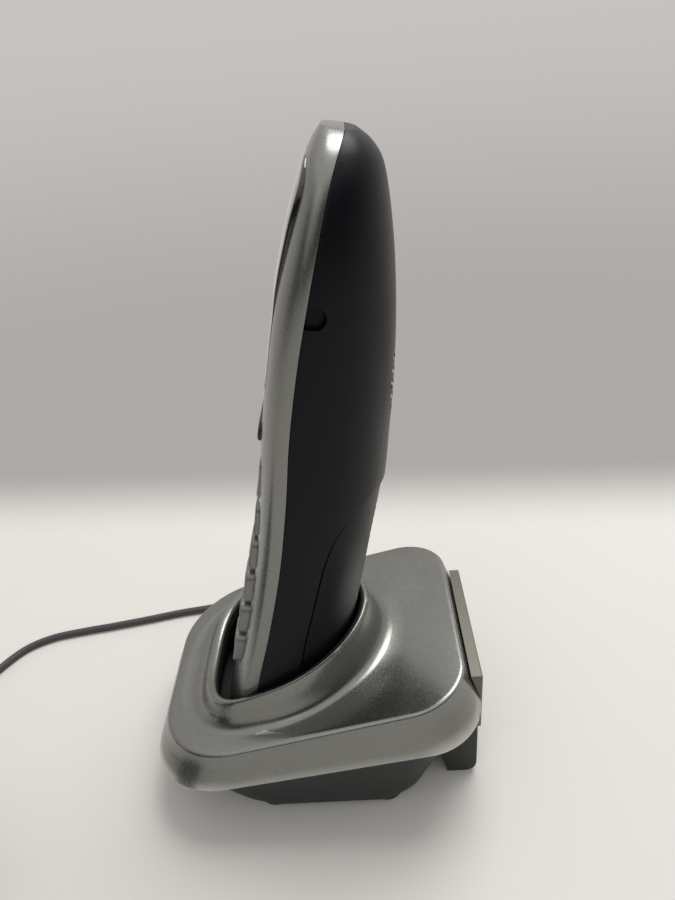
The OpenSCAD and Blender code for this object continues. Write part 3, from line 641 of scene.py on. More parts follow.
RECIPES = {
    "silver_paint": lambda n: silver_paint(n, colours().silver, wear=0.08, rough=0.27),
    # edge sets the strength of the highlight painted on the base's sharp edges.
    "base_paint": lambda n: silver_paint(n, colours().silver, wear=0.4, rough=0.25, edge=0.8),
    # The same silver paint as the cover, darkened and with less metal: painted shade.
    "hood_paint": lambda n: silver_paint(n, colours().hood, wear=0.2, metal=0.35, rough=0.5),
    "key_silver": lambda n: silver_paint(n, colours().key_silver, wear=0.5, metal=0.6, rough=0.34),
    "charcoal_plastic": lambda n: moulded_plastic(n, colours().charcoal, rough=0.34, dust=0.05,
                                                  specular=0.16),
    "case_plastic": lambda n: moulded_plastic(n, colours().case, grain=1.6, depth=0.03, rough=0.5, dust=0.6),
    "black_plastic": lambda n: moulded_plastic(n, colours().black, grain=2.6, depth=0.012, rough=0.36,
                                               dust=0.3),
    "pocket_plastic": lambda n: moulded_plastic(n, colours().black, grain=1.6, depth=0.03, rough=0.55,
                                                dust=0.2),
    "gloss_black": lambda n: gloss_black(n, colours().black),
    "cord_rubber": lambda n: moulded_plastic(n, colours().cord, grain=1.2, depth=0.02, rough=0.52, dust=0.4),
    "adaptor_plastic": lambda n: moulded_plastic(n, lighter(colours().black, 1.6), grain=1.3, depth=0.035,
                                                 rough=0.46, dust=0.4),
    "foot_rubber": lambda n: soft_rubber(n, colours().rubber),
    "mat_rubber": lambda n: soft_rubber(n, (0.06, 0.06, 0.062)),
    "steel": lambda n: bare_metal(n, (0.55, 0.55, 0.54)),
    "pin_brass": lambda n: bare_metal(n, (0.62, 0.60, 0.55), rough=0.2, brushed=(1, 8, 1)),
    "contact_gold": lambda n: bare_metal(n, (0.72, 0.50, 0.20), rough=0.2),
    "lens_glass": window_glass,
    "lcd_face": lcd_panel,
    "board": circuit_board,
    "cell_wrap": cell_wrap,
    "print": lambda n: print_ink(n, colours().print),
    "talk_ink": lambda n: print_ink(n, (0.02, 0.16, 0.05)),
    "end_ink": lambda n: print_ink(n, (0.24, 0.02, 0.02)),
}

# ---------------------------------------------------------------- operators


class PHONE_OT_camera(Operator):
    """Sets the camera that looks down at the phone's right side"""
    bl_idname = "phone.camera"
    bl_label = "Camera"

    def execute(self, context):
        yaw, pitch, roll = -0.0370, 0.5158, -0.0799
        place = Vector((151.09, 16.56, 178.78)) * MM
        ahead = Vector((-math.cos(yaw) * math.cos(pitch), math.sin(yaw) * math.cos(pitch), -math.sin(pitch)))
        level = ahead.cross(Vector((0, 0, 1))).normalized()
        rise = level.cross(ahead)
        right = level * math.cos(roll) + rise * math.sin(roll)
        up = rise * math.cos(roll) - level * math.sin(roll)
        data = bpy.data.cameras.new("camera")
        data.lens, data.sensor_width = 29.12, 36
        data.clip_start, data.clip_end = 0.01, 20
        camera = bpy.data.objects.new("camera", data)
        context.scene.collection.objects.link(camera)
        camera.matrix_world = Matrix.Translation(place) @ Matrix((right, up, -ahead)).transposed().to_4x4()
        context.scene.camera = camera
        return {"FINISHED"}


LAY = 1.25
COIL_AT, COIL_EDGE = (16, -134), 19.4
ROUTE = [(-51.5, 15.5, 10.2), (-56, 14.5, 8.6), (-60, 10.5, 5.4), (-61.5, 3, 2.6), (-61, -6, LAY),
         (-57.5, -18, LAY), (-54, -30, LAY), (-51.5, -40, LAY), (-49.5, -52, LAY), (-47, -63, LAY),
         (-44.5, -75, LAY), (-42.5, -86, LAY), (-40, -96, LAY), (-35, -104, LAY), (-26, -110, LAY),
         (-15, -115, LAY), (-7.5, -120, LAY), (-4.2, -126.5, 2.6), (COIL_AT[0] - COIL_EDGE, COIL_AT[1], 5)]
TAIL = [(COIL_AT[0] + COIL_EDGE, COIL_AT[1], 5), (37.2, -128, 4), (38.3, -120, 4), (38.8, -111, 6),
        (39, -102, 8.5), (39, -93, 11), (40.5, -87.5, 12.5), (44.5, -83.5, 13.8), (50, -82, 14.6),
        (55.5, -83.5, 15), (59.5, -87.5, 15), (61, -93, 15)]
ADAPTOR_AT = (61, -123, 15)
# Places of the sixteen turns in the coil's section, as the cord passes through them
WINDING = [(3, 1), (3, 0), (2, 0), (1, 0), (0, 0), (0, 1), (1, 1), (2, 1), (2, 2), (1, 2), (0, 2),
           (0, 3), (1, 3), (2, 3), (3, 3), (3, 2)]


def coil_line(radius, pitch, steps=30):
    """Middle line of the coil, from its left edge round to its right."""
    total = (len(WINDING) - 0.5) * steps
    line = []
    for k in range(1, int(total)):
        turn = k / steps
        i = min(int(turn), len(WINDING) - 1)
        share = turn - i
        a, b = WINDING[i], WINDING[min(i + 1, len(WINDING) - 1)]
        t = max(0.0, (share - 0.72) / 0.28)
        t = t * t * (3 - 2 * t)
        column, level = mix(a[0], b[0], t), mix(a[1], b[1], t)
        ease = max(0.0, 1 - k / (steps * 0.35), 1 - (total - k) / (steps * 0.35))
        ease = ease * ease
        r = mix(radius + (column - 1.5) * pitch, COIL_EDGE, ease)
        z = mix(LAY + level * pitch, 5.0, ease)
        angle = math.pi + 2 * math.pi * turn
        line.append(Vector((COIL_AT[0] + r * math.cos(angle), COIL_AT[1] + r * math.sin(angle), z)))
    return line


def rib_profile(start, end, r0, r1, ribs, depth):
    """Profile of a tapered strain relief with grooves round it."""
    profile = []
    for i in range(ribs * 8 + 1):
        s = i / (ribs * 8)
        groove = max(0.0, math.sin(2 * math.pi * s * ribs)) ** 0.5 if 0.02 < s < 0.98 else 0
        profile.append((mix(start, end, s), mix(r0, r1, s) - depth * groove))
    return profile


class PHONE_OT_cord(Operator):
    """Lays the power cord, its coil and tie, the plug with its relief and the adaptor"""
    bl_idname = "phone.cord"
    bl_label = "Power cord"

    def execute(self, context):
        sizes = context.scene.phone_cord
        d = sizes.diameter / MM
        line = dense(ROUTE, 5)[:-1] + coil_line(sizes.coil / MM / 2, d + 0.02) + dense(TAIL, 5)[1:]
        run = sum((b - a).length for a, b in zip(line, line[1:]))
        cord = fit(make_mesh("cord", *sweep(line, d / 2 - 0.01, 12), angle=60), "base",
                   finish("cord_rubber"), "cord_rubber", "power_cord", "cord_coil")

        axis = (1, 0, 0)
        plug_parts = [
            lathe([(4, 3.0)] + [(4 + s, r) for s, r in soft_ends(0, 17.6, 3.9, 0.6)], ROUTE[0], axis),
            lathe(rib_profile(-0.3, 5.2, 1.5, 2.9, 3, 0.28), ROUTE[0], axis),
            lathe(soft_ends(21.0, 30.6, 2.75, 0.3), ROUTE[0], axis)]
        for k in range(14):
            a = 2 * math.pi * k / 14
            at = Vector(ROUTE[0]) + Vector((12.5, 3.72 * math.cos(a), 3.72 * math.sin(a)))
            plug_parts.append(lathe(soft_ends(-4.2, 4.2, 0.34, 0.2, 2), at, axis, 8))
        plug = fit(make_mesh("plug", *join(*plug_parts)), "base", finish("black_plastic"),
                   "black_plastic", "power_plug")

        tie_parts = []
        for side in (-1, 1):
            way = Vector((math.cos(side * 0.9 + math.pi / 2), math.sin(side * 0.9 + math.pi / 2), 0))
            centre = Vector((*COIL_AT, 5.15)) + way * (sizes.coil / MM / 2)
            across = way.cross(Vector((0, 0, 1)))
            loops = []
            for offset, grow in ((-2.1, -0.25), (-1.9, 0), (1.9, 0), (2.1, -0.25)):
                loops.append([tuple(centre + way * a + Vector((0, 0, b)) + across * offset)
                              for a, b in rounded(10.3 + 2 * grow, 10.3 + 2 * grow, 1.6 + grow)])
            tie_parts.append(loft(loops))
        tie = fit(make_mesh("cord_tie", *join(*tie_parts)), "base", finish("foot_rubber"), "cord_rubber")

        body = self.adaptor()
        pins = self.pins()
        [c * MM for c in ROUTE[0]]
        [[c * MM for c in p] for p in line]
        print("cord length", round(run), "mm")
        return {"FINISHED"}

    def adaptor(self):
        """Body of the adaptor, with a parting groove, a label-free panel flush with its pin end and a ribbed
        relief.
        """
        at_x, at_y, at_z = ADAPTOR_AT
        loops = []
        for y, grow in ((26, -2.2), (25.5, -1.1), (24.4, -0.3), (23, 0), (11.4, 0), (11.1, -0.35),
                        (10.7, -0.35), (10.4, 0), (-22, 0), (-24.4, -0.3), (-25.6, -1.1), (-26, -2.2)):
            loops.append([(at_x + a, at_y + y, at_z + b)
                          for a, b in rounded(40 + 2 * grow, 30 + 2 * grow, 5 + grow * 0.7)])
        seat = [[(at_x + a, at_y + y, at_z + b) for a, b in rounded(28 + 2 * g, 18 + 2 * g, 4)]
                for y, g in ((-25.9, 0), (-26.0, -0.1))]
        relief = lathe(rib_profile(0, 8, 3.1, 1.7, 4, 0.3), (at_x, at_y + 25.8, at_z), (0, 1, 0))
        return fit(make_mesh("adaptor", *join(loft(loops), loft(seat), relief)), "base",
                   finish("adaptor_plastic"), "adaptor_plastic", "adaptor_body")

    def pins(self):
        parts = []
        for x in (ADAPTOR_AT[0] - 9.3, ADAPTOR_AT[0] + 9.3):
            parts.append(lathe([(-2, 2.6), (0, 2.6), (0.6, 2.0), (17.2, 2.0), (18.2, 1.75), (18.8, 1.2),
                                (19, 0.4)],
                               (x, ADAPTOR_AT[1] - 26, ADAPTOR_AT[2]), (0, -1, 0)))
        return fit(make_mesh("mains_pins", *join(*parts)), "base", finish("pin_brass"), "steel",
                   "adaptor_pins")


def trough(outer, inner):
    """Shell between two grids of arcs, closed at its ends."""
    return loft([list(o) + list(reversed(i)) for o, i in zip(outer, inner)])


def inner_row(w, low, high, wall):
    return max(low + wall + 0.3 * (w - low), min(high - wall - 0.3 * (high - w), w))


ENDS_LOW = [2, 2.25, 2.6, 3, 3.5, 4.2, 5, 6.2, 8]
ENDS_HIGH = [143.6, 144.8, 146, 147, 148, 148.8, 149.5, 150.2, 150.8, 151.3, 151.7, 152]


class PHONE_OT_front_frame(Operator):
    """Builds the silver front frame with its openings"""
    bl_idname = "phone.front_frame"
    bl_label = "Front frame"

    def execute(self, context):
        sizes = context.scene.phone_handset
        edge, broken = sizes.edge / MM, sizes.opening_round / MM
        steps = [math.radians(a) for a in range(-87, 88, 3)]

        def arc(w, off):
            h, s, depth = half_at(w) - off, seam_at(w), seam_at(w) - front_at(w) - off
            points = [(h * power(math.sin(a), 2 / FRONT_POWER), s - depth * math.cos(a) ** (2 / FRONT_POWER))
                      for a in steps]
            if off:
                ends = [(h, s - 0.02), (h, s - edge)]
            else:
                ends = [(h - edge, s - 0.04), (h - 0.25 * edge, s - 0.25 * edge), (h, s - edge)]
            if off:
                ends.append((h, s - 1.5 * edge))
            left = [(-x, v) for x, v in ends]
            return left + points + list(reversed(ends))

        rows = sorted(set(ENDS_LOW + spread(10, 142, 2) + ENDS_HIGH))
        outer = [[(x, v, w) for x, v in arc(w, 0)] for w in rows]
        inner = []
        for row in rows:
            w = inner_row(row, LOW, HIGH, WALL)
            inner.append([(x, v, w) for x, v in arc(w, WALL)])
        piece = make_mesh("front_frame", *trough(outer, inner), docked=True)
        openings = [(x, w, width, height, 2.4) for _, x, w, width, height in KEYS[:2]]
        openings += [(c * COLUMN, TOP_ROW - 2 * PITCH, KEY_W, 4 * PITCH + KEY_H, 2.4) for c in (-1, 0, 1)]
        tools = [plug_tool(x, w, width + 0.6, height + 0.6, r, -12, -1, broken, lambda w: 0)
                 for x, w, width, height, r in openings + [(*NAV, 2.8)]]
        tools.append(plug_tool(0, PLATE_AT, PLATE_W + 0.3, PLATE_H + 0.3, 8.1, -12, 0.5))
        tools.append(lathe([(-1, 1.1), (0.25, 0.75), (8, 0.7)], (0, front_skin(0, 12), 12), (0, 1, 0), 24))
        cut(piece, tools, docked=True)
        fit(piece, "handset", finish("silver_paint"), "silver_paint", "front_frame")
        return {"FINISHED"}


class PHONE_OT_rear_shell(Operator):
    """Builds the charcoal rear shell: speaker slots, side notches and the bay under the cover"""
    bl_idname = "phone.rear_shell"
    bl_label = "Rear shell"

    def execute(self, context):
        edge = context.scene.phone_handset.edge / MM
        side_n, flat_n, bay_n = 22, 5, 6
        step_w = COVER_TOP + 0.18

        def arc(w, off, recess=True):
            s, h = seam_at(w), half_at(w) - off
            depth = rear_at(w) - off - s
            seam = cover_seam_at(min(w, step_w)) - 0.15 - off
            share = min(0.97, max(0.0, (seam - s) / depth))
            turn = math.acos(share ** (REAR_POWER / 2))
            points = []
            for i in range(side_n + 1):
                a = mix(math.radians(88), turn, i / side_n)
                points.append((h * math.sin(a) ** (2 / REAR_POWER),
                               s + depth * math.cos(a) ** (2 / REAR_POWER)))
            x_c = points[-1][0]
            bay = min(BAY_HALF + off, x_c * 0.98)
            flat = [mix(x_c, bay, i / flat_n) for i in range(1, flat_n + 1)]
            deep = [mix(bay, 0, i / bay_n) for i in range(bay_n + 1)]

            def level(x, in_bay):
                if not recess:
                    return s + depth * bulge(x / h, REAR_POWER)
                return BAY_FLOOR - off if in_bay and w < BAY_TOP + off else seam

            points += [(x, level(x, False)) for x in flat] + [(x, level(x, True)) for x in deep]
            rim = [(h, s - 0.02), (h, s + edge * 0.5), (h, s + edge)] if off else [
                (h - edge, s + 0.04), (h - 0.25 * edge, s + 0.25 * edge), (h, s + edge)]
            half = rim + points
            return half + [(-x, v) for x, v in reversed(half[:-1])]

        rows = [(w, True) for w in sorted(set(ENDS_LOW + spread(10, 57.9, 2) + [58.1] + spread(60, 78, 1.5)
                                              + [step_w]))]
        rows += [(w, False) for w in [step_w + 0.02, 79.4] + spread(81, 142, 2) + ENDS_HIGH]
        outer = [[(x, v, w) for x, v in arc(w, 0, r)] for w, r in rows]
        inner = []
        for row, recess in rows:
            w = inner_row(row, LOW, HIGH, WALL)
            inner.append([(x, v, w) for x, v in arc(w, WALL, recess)])
        piece = make_mesh("rear_shell", *trough(outer, inner), docked=True, angle=28)
        tools = []
        for side in (-1, 1):
            reach = half_at(NOTCH_AT)
            outline = [(-0.6, -NOTCH_R), (NOTCH_BACK, -NOTCH_R)] + [
                (NOTCH_BACK + NOTCH_R * math.cos(math.radians(a)), NOTCH_R * math.sin(math.radians(a)))
                for a in range(-80, 81, 10)] + [(NOTCH_BACK, NOTCH_R), (-0.6, NOTCH_R)]
            tools.append(loft([[(side * x, 0.12 * g + v * (1 + 0.04 * g), NOTCH_AT + u * (1 + 0.10 * g))
                                for v, u in outline]
                               for x, g in ((reach - 1.1, 0), (reach - 0.45, 0), (reach - 0.1, 0.6),
                                            (reach + 4, 2))]))
        for i in range(-2, 3):
            tools.append(plug_tool(0, SPEAKER_AT + SPEAKER_PITCH * i, 15 - 1.5 * abs(i), SLOT_H, SLOT_R, 28,
                                   18.6))
        cut(piece, tools, docked=True, angle=28)
        fit(piece, "handset", finish("charcoal_plastic"), "charcoal_plastic", "rear_shell")
        return {"FINISHED"}


class PHONE_OT_battery_cover(Operator):
    """Builds the battery cover with its finger grip"""
    bl_idname = "phone.battery_cover"
    bl_label = "Battery cover"

    def execute(self, context):
        steps = 60

        def arc(w, off):
            s = seam_at(w)
            h, depth = half_at(w) - COVER_INSET - off, rear_at(w) - COVER_INSET - off - s
            low = cover_seam_at(w) + 0.15
            share = min(0.985, max(0.0, (low + (0 if off else 0.3) - s) / depth))
            turn = math.acos(share ** (REAR_POWER / 2))
            points = []
            for i in range(steps + 1):
                a = mix(turn, -turn, i / steps)
                x = h * power(math.sin(a), 2 / REAR_POWER)
                v = s + depth * math.cos(a) ** (2 / REAR_POWER)
                if not off and abs(x) < GRIP_HALF:
                    ridge = sum(math.exp(-(((w - c) / 0.42) ** 2)) for c in GRIP_RIDGES)
                    v += -0.35 * ridge * (1 - bulge_edge(abs(x) / GRIP_HALF))
                points.append((x, v))
            if off:
                x, v = points[0]
                ends = [(x, low), (x, low + 0.02)]
            else:
                x = points[0][0]
                ends = [(x - 0.25, low), (x - 0.06, low + 0.1)]
            return ends + points + [(-a, b) for a, b in reversed(ends)]

        def bulge_edge(u):
            return max(0.0, min(1.0, (u - 0.8) / 0.2)) ** 2

        rows = sorted(set(ENDS_LOW + spread(10, 60, 2) + spread(60.5, 72, 0.25) + spread(72.5, 78, 0.75)
                          + [78.3, COVER_TOP]))
        outer, inner = [], []
        for row in rows:
            pull = 0.25 * max(0.0, (row - 78.2) / 0.4) ** 2
            outer.append([(x * (1 - pull / 25), v - pull, row) for x, v in arc(row, 0)])
            w = inner_row(row, LOW, COVER_TOP, COVER_WALL)
            inner.append([(x, v, w) for x, v in arc(w, COVER_WALL)])
        piece = make_mesh("battery_cover", *trough(outer, inner), docked=True)
        fit(piece, "battery_cover", finish("charcoal_plastic"), "charcoal_plastic", "battery_cover")
        return {"FINISHED"}


def pad(x, w, outline, top, back, edge=0.5, draft=0.0, shape=None, rings=7):
    """Cap with a rounded edge. outline is a function of how much it shrinks, and shape a function
    of the place that is added to the depth of the face and of the edge."""
    def at(a, b, depth):
        return x + a, depth + (shape(a, b) if shape else 0), w + b

    loops = [[(x + a, back, w + b) for a, b in outline(0)]]
    for i in range(5):
        turn = math.radians(90 * i / 4)
        shrink = draft + edge * (1 - math.cos(turn))
        loops.append([at(a, b, top + edge * (1 - math.sin(turn))) for a, b in outline(shrink)])
    inside = outline(draft + edge)
    for i in range(1, rings + 1):
        f = 1 - i / rings if i < rings else 0.02
        loops.append([at(a * f, b * f, top) for a, b in inside])
    return loft(loops)


class PHONE_OT_faceplate(Operator):
    """Builds the black front plate and the display window"""
    bl_idname = "phone.faceplate"
    bl_label = "Front plate and window"

    def execute(self, context):
        plate = make_mesh("faceplate", *pad(
            0, PLATE_AT, lambda k: finer(rounded(PLATE_W - 2 * k, PLATE_H - 2 * k, 8 - k, 14)), 0, -1,
            edge=0.35, shape=lambda a, b: front_skin(a, PLATE_AT + b) - plate_rise(PLATE_AT + b),
            rings=26), docked=True)
        tools = [plug_tool(0, WINDOW_AT, WINDOW_W + 0.2, WINDOW_H + 0.2, 2.1, -12, 0, 0.15, plate_rise)]
        for i in (-1, 0, 1):
            tools.append(plug_tool(0, EAR_AT + EAR_PITCH * i, 12 - 3 * abs(i), SLOT_H, SLOT_R, -12, 0, 0.12,
                                   plate_rise))
        cut(plate, tools, docked=True)
        fit(plate, "handset", finish("gloss_black"), "charcoal_plastic", "faceplate")
        window = make_mesh("display_lens", *pad(
            0, WINDOW_AT, lambda k: finer(rounded(WINDOW_W - 2 * k, WINDOW_H - 2 * k, 2 - k, 8)), 0, -4.4,
            edge=0.2, shape=lambda a, b: front_skin(a, WINDOW_AT + b) - 0.05, rings=14), docked=True)
        fit(window, "handset", finish("lens_glass"), "lens_glass", "display_lens")
        self.screen_frame()
        return {"FINISHED"}

    def screen_frame(self):
        """Dark mask printed round the screen, under the window."""
        outer, inner = ([(a, MASK_V, WINDOW_AT + b) for a, b in rounded(*size, 6)]
                        for size in ((28.4, 24, 1), (23, 15.4, 0.8)))
        points, faces = loft([outer, inner], closed=True)
        faces = [f for f in faces if len(f) == 4]
        sheet = make_mesh("display_mask", points, faces, docked=True)
        fit(sheet, "handset", finish("gloss_black"), "charcoal_plastic")


MARKS = {"key_1": "1", "key_2": "2", "key_3": "3", "key_4": "4", "key_5": "5", "key_6": "6",
         "key_7": "7", "key_8": "8", "key_9": "9", "key_0": "0", "key_star": "*", "key_hash": "#"}


def ring_mark(r0, r1, start, end, at=(0, 0), n=18):
    """Piece of a ring as a flat outline."""
    turn = [math.radians(mix(start, end, i / n)) for i in range(n + 1)]
    outer = [(at[0] + r1 * math.cos(a), at[1] + r1 * math.sin(a)) for a in turn]
    inner = [(at[0] + r0 * math.cos(a), at[1] + r0 * math.sin(a)) for a in turn]
    return loft([outer, inner], closed=False)


def bar_mark(x, y, width, height):
    return ([(x - width / 2, y - height / 2), (x + width / 2, y - height / 2),
             (x + width / 2, y + height / 2), (x - width / 2, y + height / 2)], [(0, 1, 2, 3)])


def receiver_mark(lift):
    """Small telephone receiver: an arc with an ear and a mouth piece."""
    arc = ring_mark(1.5, 2.15, 25, 155, (0, -1.3 + lift))
    return join(arc, bar_mark(-1.95, -0.55 + lift, 0.95, 0.85), bar_mark(1.95, -0.55 + lift, 0.95, 0.85))


def digit_mark(text, height):
    font = bpy.data.curves.new("digit", "FONT")
    font.body, font.size, font.align_x, font.align_y = text, height * 1.38, "CENTER", "CENTER"
    font.offset, font.resolution_u = 0.035, 6
    holder = bpy.data.objects.new("digit", font)
    bpy.context.scene.collection.objects.link(holder)
    bpy.context.view_layer.update()
    mesh = bpy.data.meshes.new_from_object(holder.evaluated_get(bpy.context.evaluated_depsgraph_get()))
    xs = [v.co.x for v in mesh.vertices]
    ys = [v.co.y for v in mesh.vertices]
    cx, cy = (min(xs) + max(xs)) / 2, (min(ys) + max(ys)) / 2
    result = ([(v.co.x - cx, v.co.y - cy) for v in mesh.vertices], [tuple(p.vertices) for p in mesh.polygons])
    bpy.data.objects.remove(holder)
    bpy.data.curves.remove(font)
    bpy.data.meshes.remove(mesh)
    return result


class PHONE_OT_keys(Operator):
    """Builds the keys and prints their digits and signs"""
    bl_idname = "phone.keys"
    bl_label = "Keys"

    def execute(self, context):
        sizes = context.scene.phone_handset
        edge, dish = sizes.key_round / MM, sizes.key_dish / MM
        for name, x, w, width, height in KEYS:
            top = key_top(w)

            def hollow(a, b, width=width, height=height):
                across = 1 - 0.6 * min(1, abs(2 * a / width)) ** 2
                return dish * (1 - min(1, abs(2 * b / height)) ** 2) * across

            cap = pad(x, w, lambda k: finer(rounded(width - 2 * k, height - 2 * k,
                                                    max(0.6, 2.1 - k * 0.6), 8)),
                      top, KEY_BACK, edge, 0.05, hollow)
            skirt = loft([[(x + a, v, w + b) for a, b in rounded(width + 1, height - 0.6, 2.1)]
                          for v in (KEY_BACK - 0.5, KEY_BACK)])
            key = make_mesh(name + ".cap", *join(cap, skirt), docked=True)
            slot = "key_call" if name in ("talk_key", "end_key") else "key_silver"
            fit(key, name, finish("key_silver"), slot, name)
            ink = self.sign(name, sizes.digit_height / MM)
            mark = make_mesh(name + ".mark", [(x + a, top + hollow(a, b) - 0.03, w + b) for a, b in ink[0]],
                             ink[1], docked=True)
            tint = {"talk_key": "talk_ink", "end_key": "end_ink"}.get(name, "print")
            fit(mark, name, finish(tint), slot)
        self.nav()
        return {"FINISHED"}

    def sign(self, name, height):
        if name in MARKS:
            return digit_mark(MARKS[name], height)
        if name == "talk_key":
            return receiver_mark(0.2)
        if name == "end_key":
            return join(receiver_mark(-0.2), bar_mark(0, 1.7, 3.6, 0.45))
        if name == "redial_key":
            return join(ring_mark(0.95, 1.35, 40, 330), bar_mark(1.35, 0.75, 0.9, 0.45))
        if name == "hold_key":
            return join(bar_mark(-0.6, 0, 0.5, 2.2), bar_mark(0.6, 0, 0.5, 2.2))
        return join(bar_mark(-1.2, 0, 0.6, 0.6), bar_mark(0, 0, 0.6, 0.6), bar_mark(1.2, 0, 0.6, 0.6))

    def nav(self):
        """Rocking key under the plate, with its pivot and two arrows."""
        x, w, width, height = NAV
        face = front_skin(width * 0.3, w)
        body = pad(x, w, lambda k: rounded(width - 2 * k, height - 2 * k, 2.5 - k * 0.7, 10),
                   face - 0.65, KEY_BACK - 0.2, 0.5, 0.05)
        skirt = loft([[(x + a, v, w + b) for a, b in rounded(width + 1, height + 1, 2.9)]
                      for v in (KEY_BACK - 0.7, KEY_BACK - 0.2)])
        pivot = lathe(soft_ends(-width / 2 - 0.4, width / 2 + 0.4, 0.45, 0.1),
                      (0, NAV_PIVOT_V, w), (1, 0, 0), 16)
        key = make_mesh("nav_key.cap", *join(body, skirt, pivot), docked=True)
        fit(key, "nav_key", finish("black_plastic"), "black_plastic", "nav_key")
        arrows = []
        for side in (-1, 1):
            arrows.append(([(side * 8.2, -1), (side * 8.2, 1), (side * 9.9, 0)], [(0, 1, 2)]))
        points, faces = join(*arrows)
        mark = make_mesh("nav_key.mark", [(a, face - 0.68, w + b) for a, b in points], faces, docked=True)
        fit(mark, "nav_key", finish("key_silver"), "black_plastic")


# ---------------------------------------------------------------- base

BASE_W, FRONT_Y, REAR_Y = 71.0, -43.3, 43.0
INSET_SIDE, INSET_REAR, SKIRT_WALL, BASE_WALL = 2.9, 4.0, 2.0, 1.8
RIM_HALF, RIM_FRONT, RIM_REAR = 23.6, -28.0, 15.1
RIM_SPLIT = RIM_FRONT + 0.45 * (RIM_REAR - RIM_FRONT)
LIP_DEPTH, BEVEL = 3.5, 1.3
# Wall of the cradle's ring: share of the way out to its foot, and share of the way down
RING_WALL = [(0, 0), (0.05, 0.0), (0.1, 0.02), (0.16, 0.10), (0.24, 0.3), (0.36, 0.6), (0.56, 0.86),
             (0.78, 0.965), (1, 1)]
FEET_X, FEET_Y = (-23.2, 23.2), (-12, 17.7)
# Tapers give the place across and how far the outline is drawn in there
BLOCK_REAR, BLOCK_ROUND, BLOCK_MIDDLE = 43, 3, (38.5, 13)
BLOCK_TAPER = [(-20, 0.5), (-19.8, 0.2), (-19.4, 0), (19.4, 0), (19.8, 0.2), (20, 0.5)]
SOCKET_AT, POWER_SOCKET = 10.6, (-31.2, 15.5, 10.2)
HOOD_REAR, HOOD_LOW, HOOD_HIGH = 43.6, 19.1, 37.5
HOOD_TAPER = [(-21, 0.35), (-20.85, 0.1), (-20.5, 0), (20.5, 0), (20.85, 0.1), (21, 0.35)]
# Levels of the case from its foot up: half width, front, rear, front and rear round, then the
# height at the front and at the rear
CASE_LEVELS = [(27.5, -16.5, 23, 9, 9, 1.5, 1.5), (29.3, -21, 26.5, 11, 11, 2.7, 2.7),
               (29.9, -26.5, 29.5, 13, 12, 5.2, 5.2), (30.5, -33.5, 33, 15, 13, 10, 12.5),
               (31.6, -38, 37, 17, 13, 13, 21.5), (32.8, -40.4, 40.4, 18, 11.5, 15.9, 30.1)]


def plate_z(y):
    return 32.3 + 0.2354 * y


def skirt_z(y):
    return 21.8 + 0.176 * y


def round_box(a, hx, y0, y1, r0, r1):
    """Rounded rectangle seen from its middle at angle a: half width, ends, front and rear radii."""
    c, s = math.cos(a), math.sin(a)
    hy, r = (y1 - y0) / 2, (r0 if s < 0 else r1)
    tx, ty = hx / max(abs(c), 1e-6), hy / max(abs(s), 1e-6)
    dc = abs(c) * (hx - r) + abs(s) * (hy - r)
    cc = (hx - r) ** 2 + (hy - r) ** 2 - r * r
    if tx * abs(s) <= hy - r:
        t = tx
    elif ty * abs(c) <= hx - r:
        t = ty
    else:
        t = dc + math.sqrt(max(0, dc * dc - cc))
    return t * c, (y0 + y1) / 2 + t * s


def outline(a, side_in, rear_in, r_in):
    return round_box(a, BASE_W / 2 - side_in, FRONT_Y + side_in, REAR_Y - rear_in, 20.7 - r_in, 14 - r_in)


def egg(a, half, middle, rear, front, p_rear, p_front):
    c, s = math.cos(a), math.sin(a)
    p = p_front if s < 0 else p_rear
    return half * power(c, 2 / p), middle + (front if s < 0 else rear) * power(s, 2 / p)


def rim(a, grow):
    return egg(a, RIM_HALF + grow, RIM_SPLIT, RIM_REAR - RIM_SPLIT + grow, RIM_SPLIT - RIM_FRONT + grow,
               1.9, 3.2)


def rim_z(y):
    return 29.1 + 19.1 * max(0, (y - RIM_FRONT) / (RIM_REAR - RIM_FRONT)) ** 0.74


def lip(a, grow, drop):
    x, y = rim(a, grow)
    return x, y, rim_z(rim(a, 0)[1]) - drop


def ring_foot(a, grow=0.0):
    return egg(a, 28.2 + grow, -12, 34.2 + grow, 25.5 + grow, 2, 2.6)


def smooth_pairs(pairs, n):
    """Points along a smooth curve through pairs of numbers."""
    return [(p.x, p.y) for p in dense([(a, b, 0) for a, b in pairs], n)]


